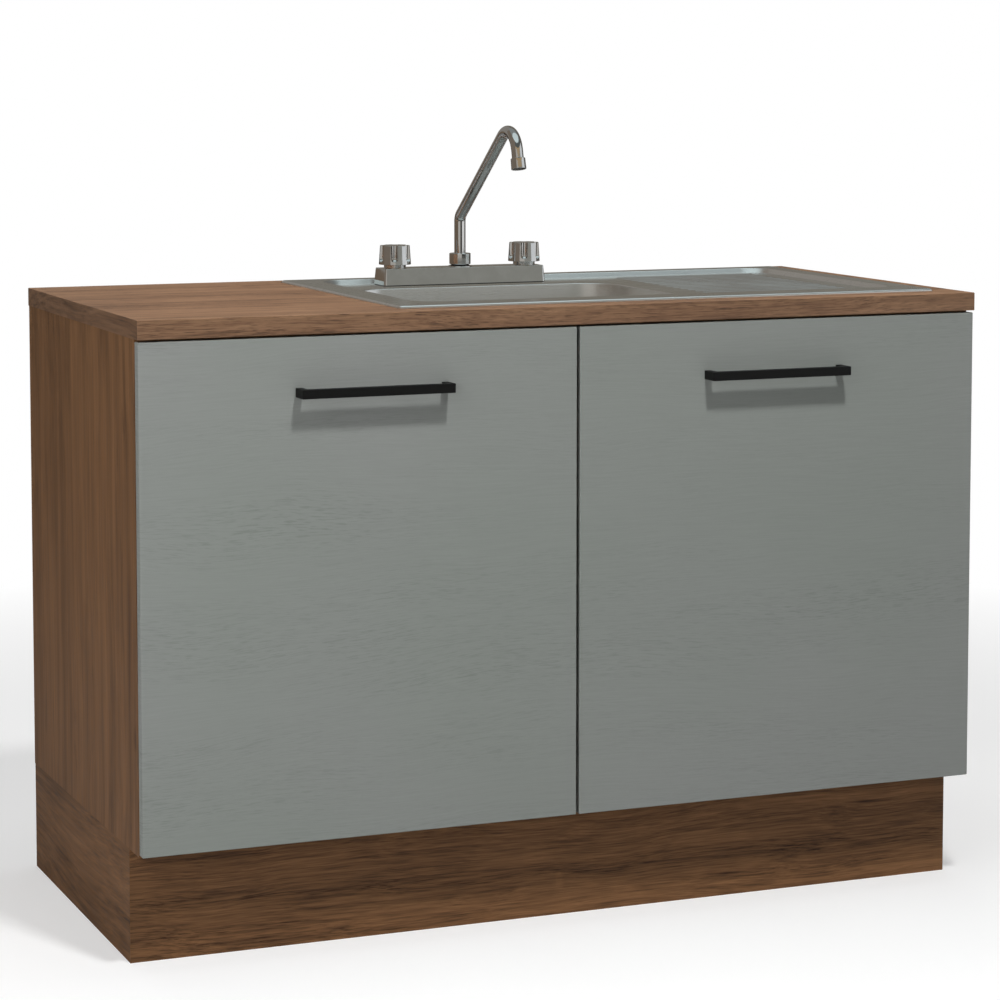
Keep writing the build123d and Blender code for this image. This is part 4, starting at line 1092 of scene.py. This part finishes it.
def reflection_card(name, middle, spread, low, high, shade):
    """Curved card round the unit that only gloss sees; its angles run clockwise from the front."""
    points = []
    for z in (low, high):
        for i in range(CARD_STEPS + 1):
            a = math.radians(middle + spread * (i / CARD_STEPS - 0.5))
            points.append((-CARD_REACH * math.sin(a), -CARD_REACH * math.cos(a), z))
    above = CARD_STEPS + 1
    faces = [(i, i + 1, above + i + 1, above + i) for i in range(CARD_STEPS)]
    only_in_gloss(mesh_piece(name, points, faces), shade)


def studio_floor():
    """Pale floor that keeps a soft shadow near the unit and fades into the white background."""
    corners = flat_corners(FLOOR_REACH, -FLOOR_REACH, FLOOR_REACH, 0)
    floor = mesh_piece("studio_floor", corners, [(0, 1, 2, 3)])
    material = bpy.data.materials.new("pale_floor")
    bench = fresh_bench(material)
    place = bench.add("ShaderNodeTexCoord").outputs["Object"]
    spots = bench.noise(place, scale=3.0, detail=3.0)
    base = bench.ramp(spots, (0.3, (0.62, 0.62, 0.62, 1)), (0.7, (0.64, 0.64, 0.64, 1)))
    cloth = bench.add("ShaderNodeBsdfDiffuse", {"Color": base}).outputs[0]
    glow = bench.add("ShaderNodeEmission", {"Color": WHITE, "Strength": FLOOR_GLOW}).outputs[0]
    lit = bench.add("ShaderNodeAddShader", {0: cloth, 1: glow}).outputs[0]
    white = bench.add("ShaderNodeEmission", {"Color": WHITE, "Strength": 1.0}).outputs[0]
    distance = bench.add("ShaderNodeVectorMath", {0: place}, operation="LENGTH").outputs["Value"]
    far = bench.spread(distance, FADE_START, FADE_END)
    near_or_far = bench.add("ShaderNodeMixShader", {0: far, 1: lit, 2: white}).outputs[0]
    seen = bench.add("ShaderNodeLightPath").outputs["Is Camera Ray"]
    final = bench.add("ShaderNodeMixShader", {0: seen, 1: cloth, 2: near_or_far}).outputs[0]
    bench.add("ShaderNodeOutputMaterial", {0: final})
    floor.data.materials.append(material)


def lamp(name, place, look_at, size, power):
    """Soft square lamp aimed at a point; the cards stand in for it in gloss."""
    light = bpy.data.lights.new(name, "AREA")
    light.size = size
    light.energy = power
    lamp_object = bpy.data.objects.new(name, light)
    lamp_object.location = place
    lamp_object.rotation_euler = (look_at - place).to_track_quat("-Z", "Y").to_euler()
    lamp_object.visible_glossy = False
    bpy.context.scene.collection.objects.link(lamp_object)


def white_world():
    """Even soft light, with plain white for whatever sees the background."""
    world = bpy.data.worlds.new("white_studio")
    bench = fresh_bench(world)
    path = bench.add("ShaderNodeLightPath").outputs
    seen = bench.math("MAXIMUM", path["Is Camera Ray"], path["Is Transmission Ray"])
    seen = bench.math("MAXIMUM", seen, path["Is Glossy Ray"])
    strength = bench.spread(seen, 0.0, 1.0, AMBIENT, 1.0)
    glow = bench.add("ShaderNodeBackground", {"Color": WHITE, "Strength": strength}).outputs[0]
    bench.add("ShaderNodeOutputWorld", {0: glow})
    bpy.context.scene.world = world


studio_floor()
white_world()
lamp("key_lamp", KEY_FROM, AIM, 0.3, 70)
lamp("top_lamp", TOP_FROM, AIM, 2.2, 36)
lamp("fill_lamp", FILL_FROM, AIM, 2.0, 26)
for name, middle, spread, low, high, shade in (
    ("low_front_card", -6, 36, CARD_FOOT, EYE_LINE, srgb(66, 64, 60)),
    ("low_front_left_card", 35, 46, CARD_FOOT, EYE_LINE, srgb(204, 202, 198)),
    ("low_left_card", 111, 106, CARD_FOOT, EYE_LINE, srgb(120, 106, 92)),
    ("low_back_card", 184, 40, CARD_FOOT, EYE_LINE, srgb(48, 43, 38)),
    ("low_right_card", -119, 74, CARD_FOOT, EYE_LINE, srgb(104, 101, 97)),
    ("low_window_card", -53, 58, CARD_FOOT, EYE_LINE, srgb(252, 253, 255)),
    ("front_card", -10, 54, EYE_LINE, WARM_LINE, srgb(156, 157, 152)),
    ("front_left_card", 36, 38, EYE_LINE, WARM_LINE, srgb(196, 193, 188)),
    ("warm_card", 5, 100, WARM_LINE, COOL_LINE, srgb(188, 166, 134)),
    ("cool_card", -14, 138, COOL_LINE, CARD_TOP, srgb(96, 101, 101)),
    ("left_card", 100, 90, EYE_LINE, CARD_TOP, srgb(132, 122, 112)),
    ("back_left_card", 166, 44, EYE_LINE, CARD_TOP, srgb(150, 146, 141)),
    ("back_card", -152, 40, EYE_LINE, CARD_TOP, srgb(122, 117, 108)),
    ("right_card", -108, 50, EYE_LINE, CARD_TOP, srgb(112, 110, 107)),
    ("window_card", -60, 46, EYE_LINE, COOL_LINE, srgb(240, 245, 250)),
):
    reflection_card(name, middle, spread, low, high, shade)
ceiling_card("front_ceiling_card", -CEILING_HALF, CEILING_SPLIT, srgb(232, 250, 255))
ceiling_card("back_ceiling_card", CEILING_SPLIT, CEILING_HALF, srgb(150, 155, 156))


# ---- camera at the photograph's viewing angle ----
CAMERA_PLACE = Vector((-1.59632, -3.92242, 1.16103))
CAMERA_YAW = 0.38645
CAMERA_PITCH = -0.08318
CAMERA_LENS = 109.11
CAMERA_SHIFT = -0.19
SENSOR_WIDTH = 36

camera_data = bpy.data.cameras.new("camera")
camera_data.lens = CAMERA_LENS
camera_data.sensor_width = SENSOR_WIDTH
camera_data.shift_y = CAMERA_SHIFT
camera = bpy.data.objects.new("camera", camera_data)
camera.location = CAMERA_PLACE
camera.rotation_euler = (QUARTER + CAMERA_PITCH, 0, -CAMERA_YAW)
bpy.context.scene.collection.objects.link(camera)
bpy.context.scene.camera = camera
bpy.context.scene.view_settings.view_transform = "Standard"
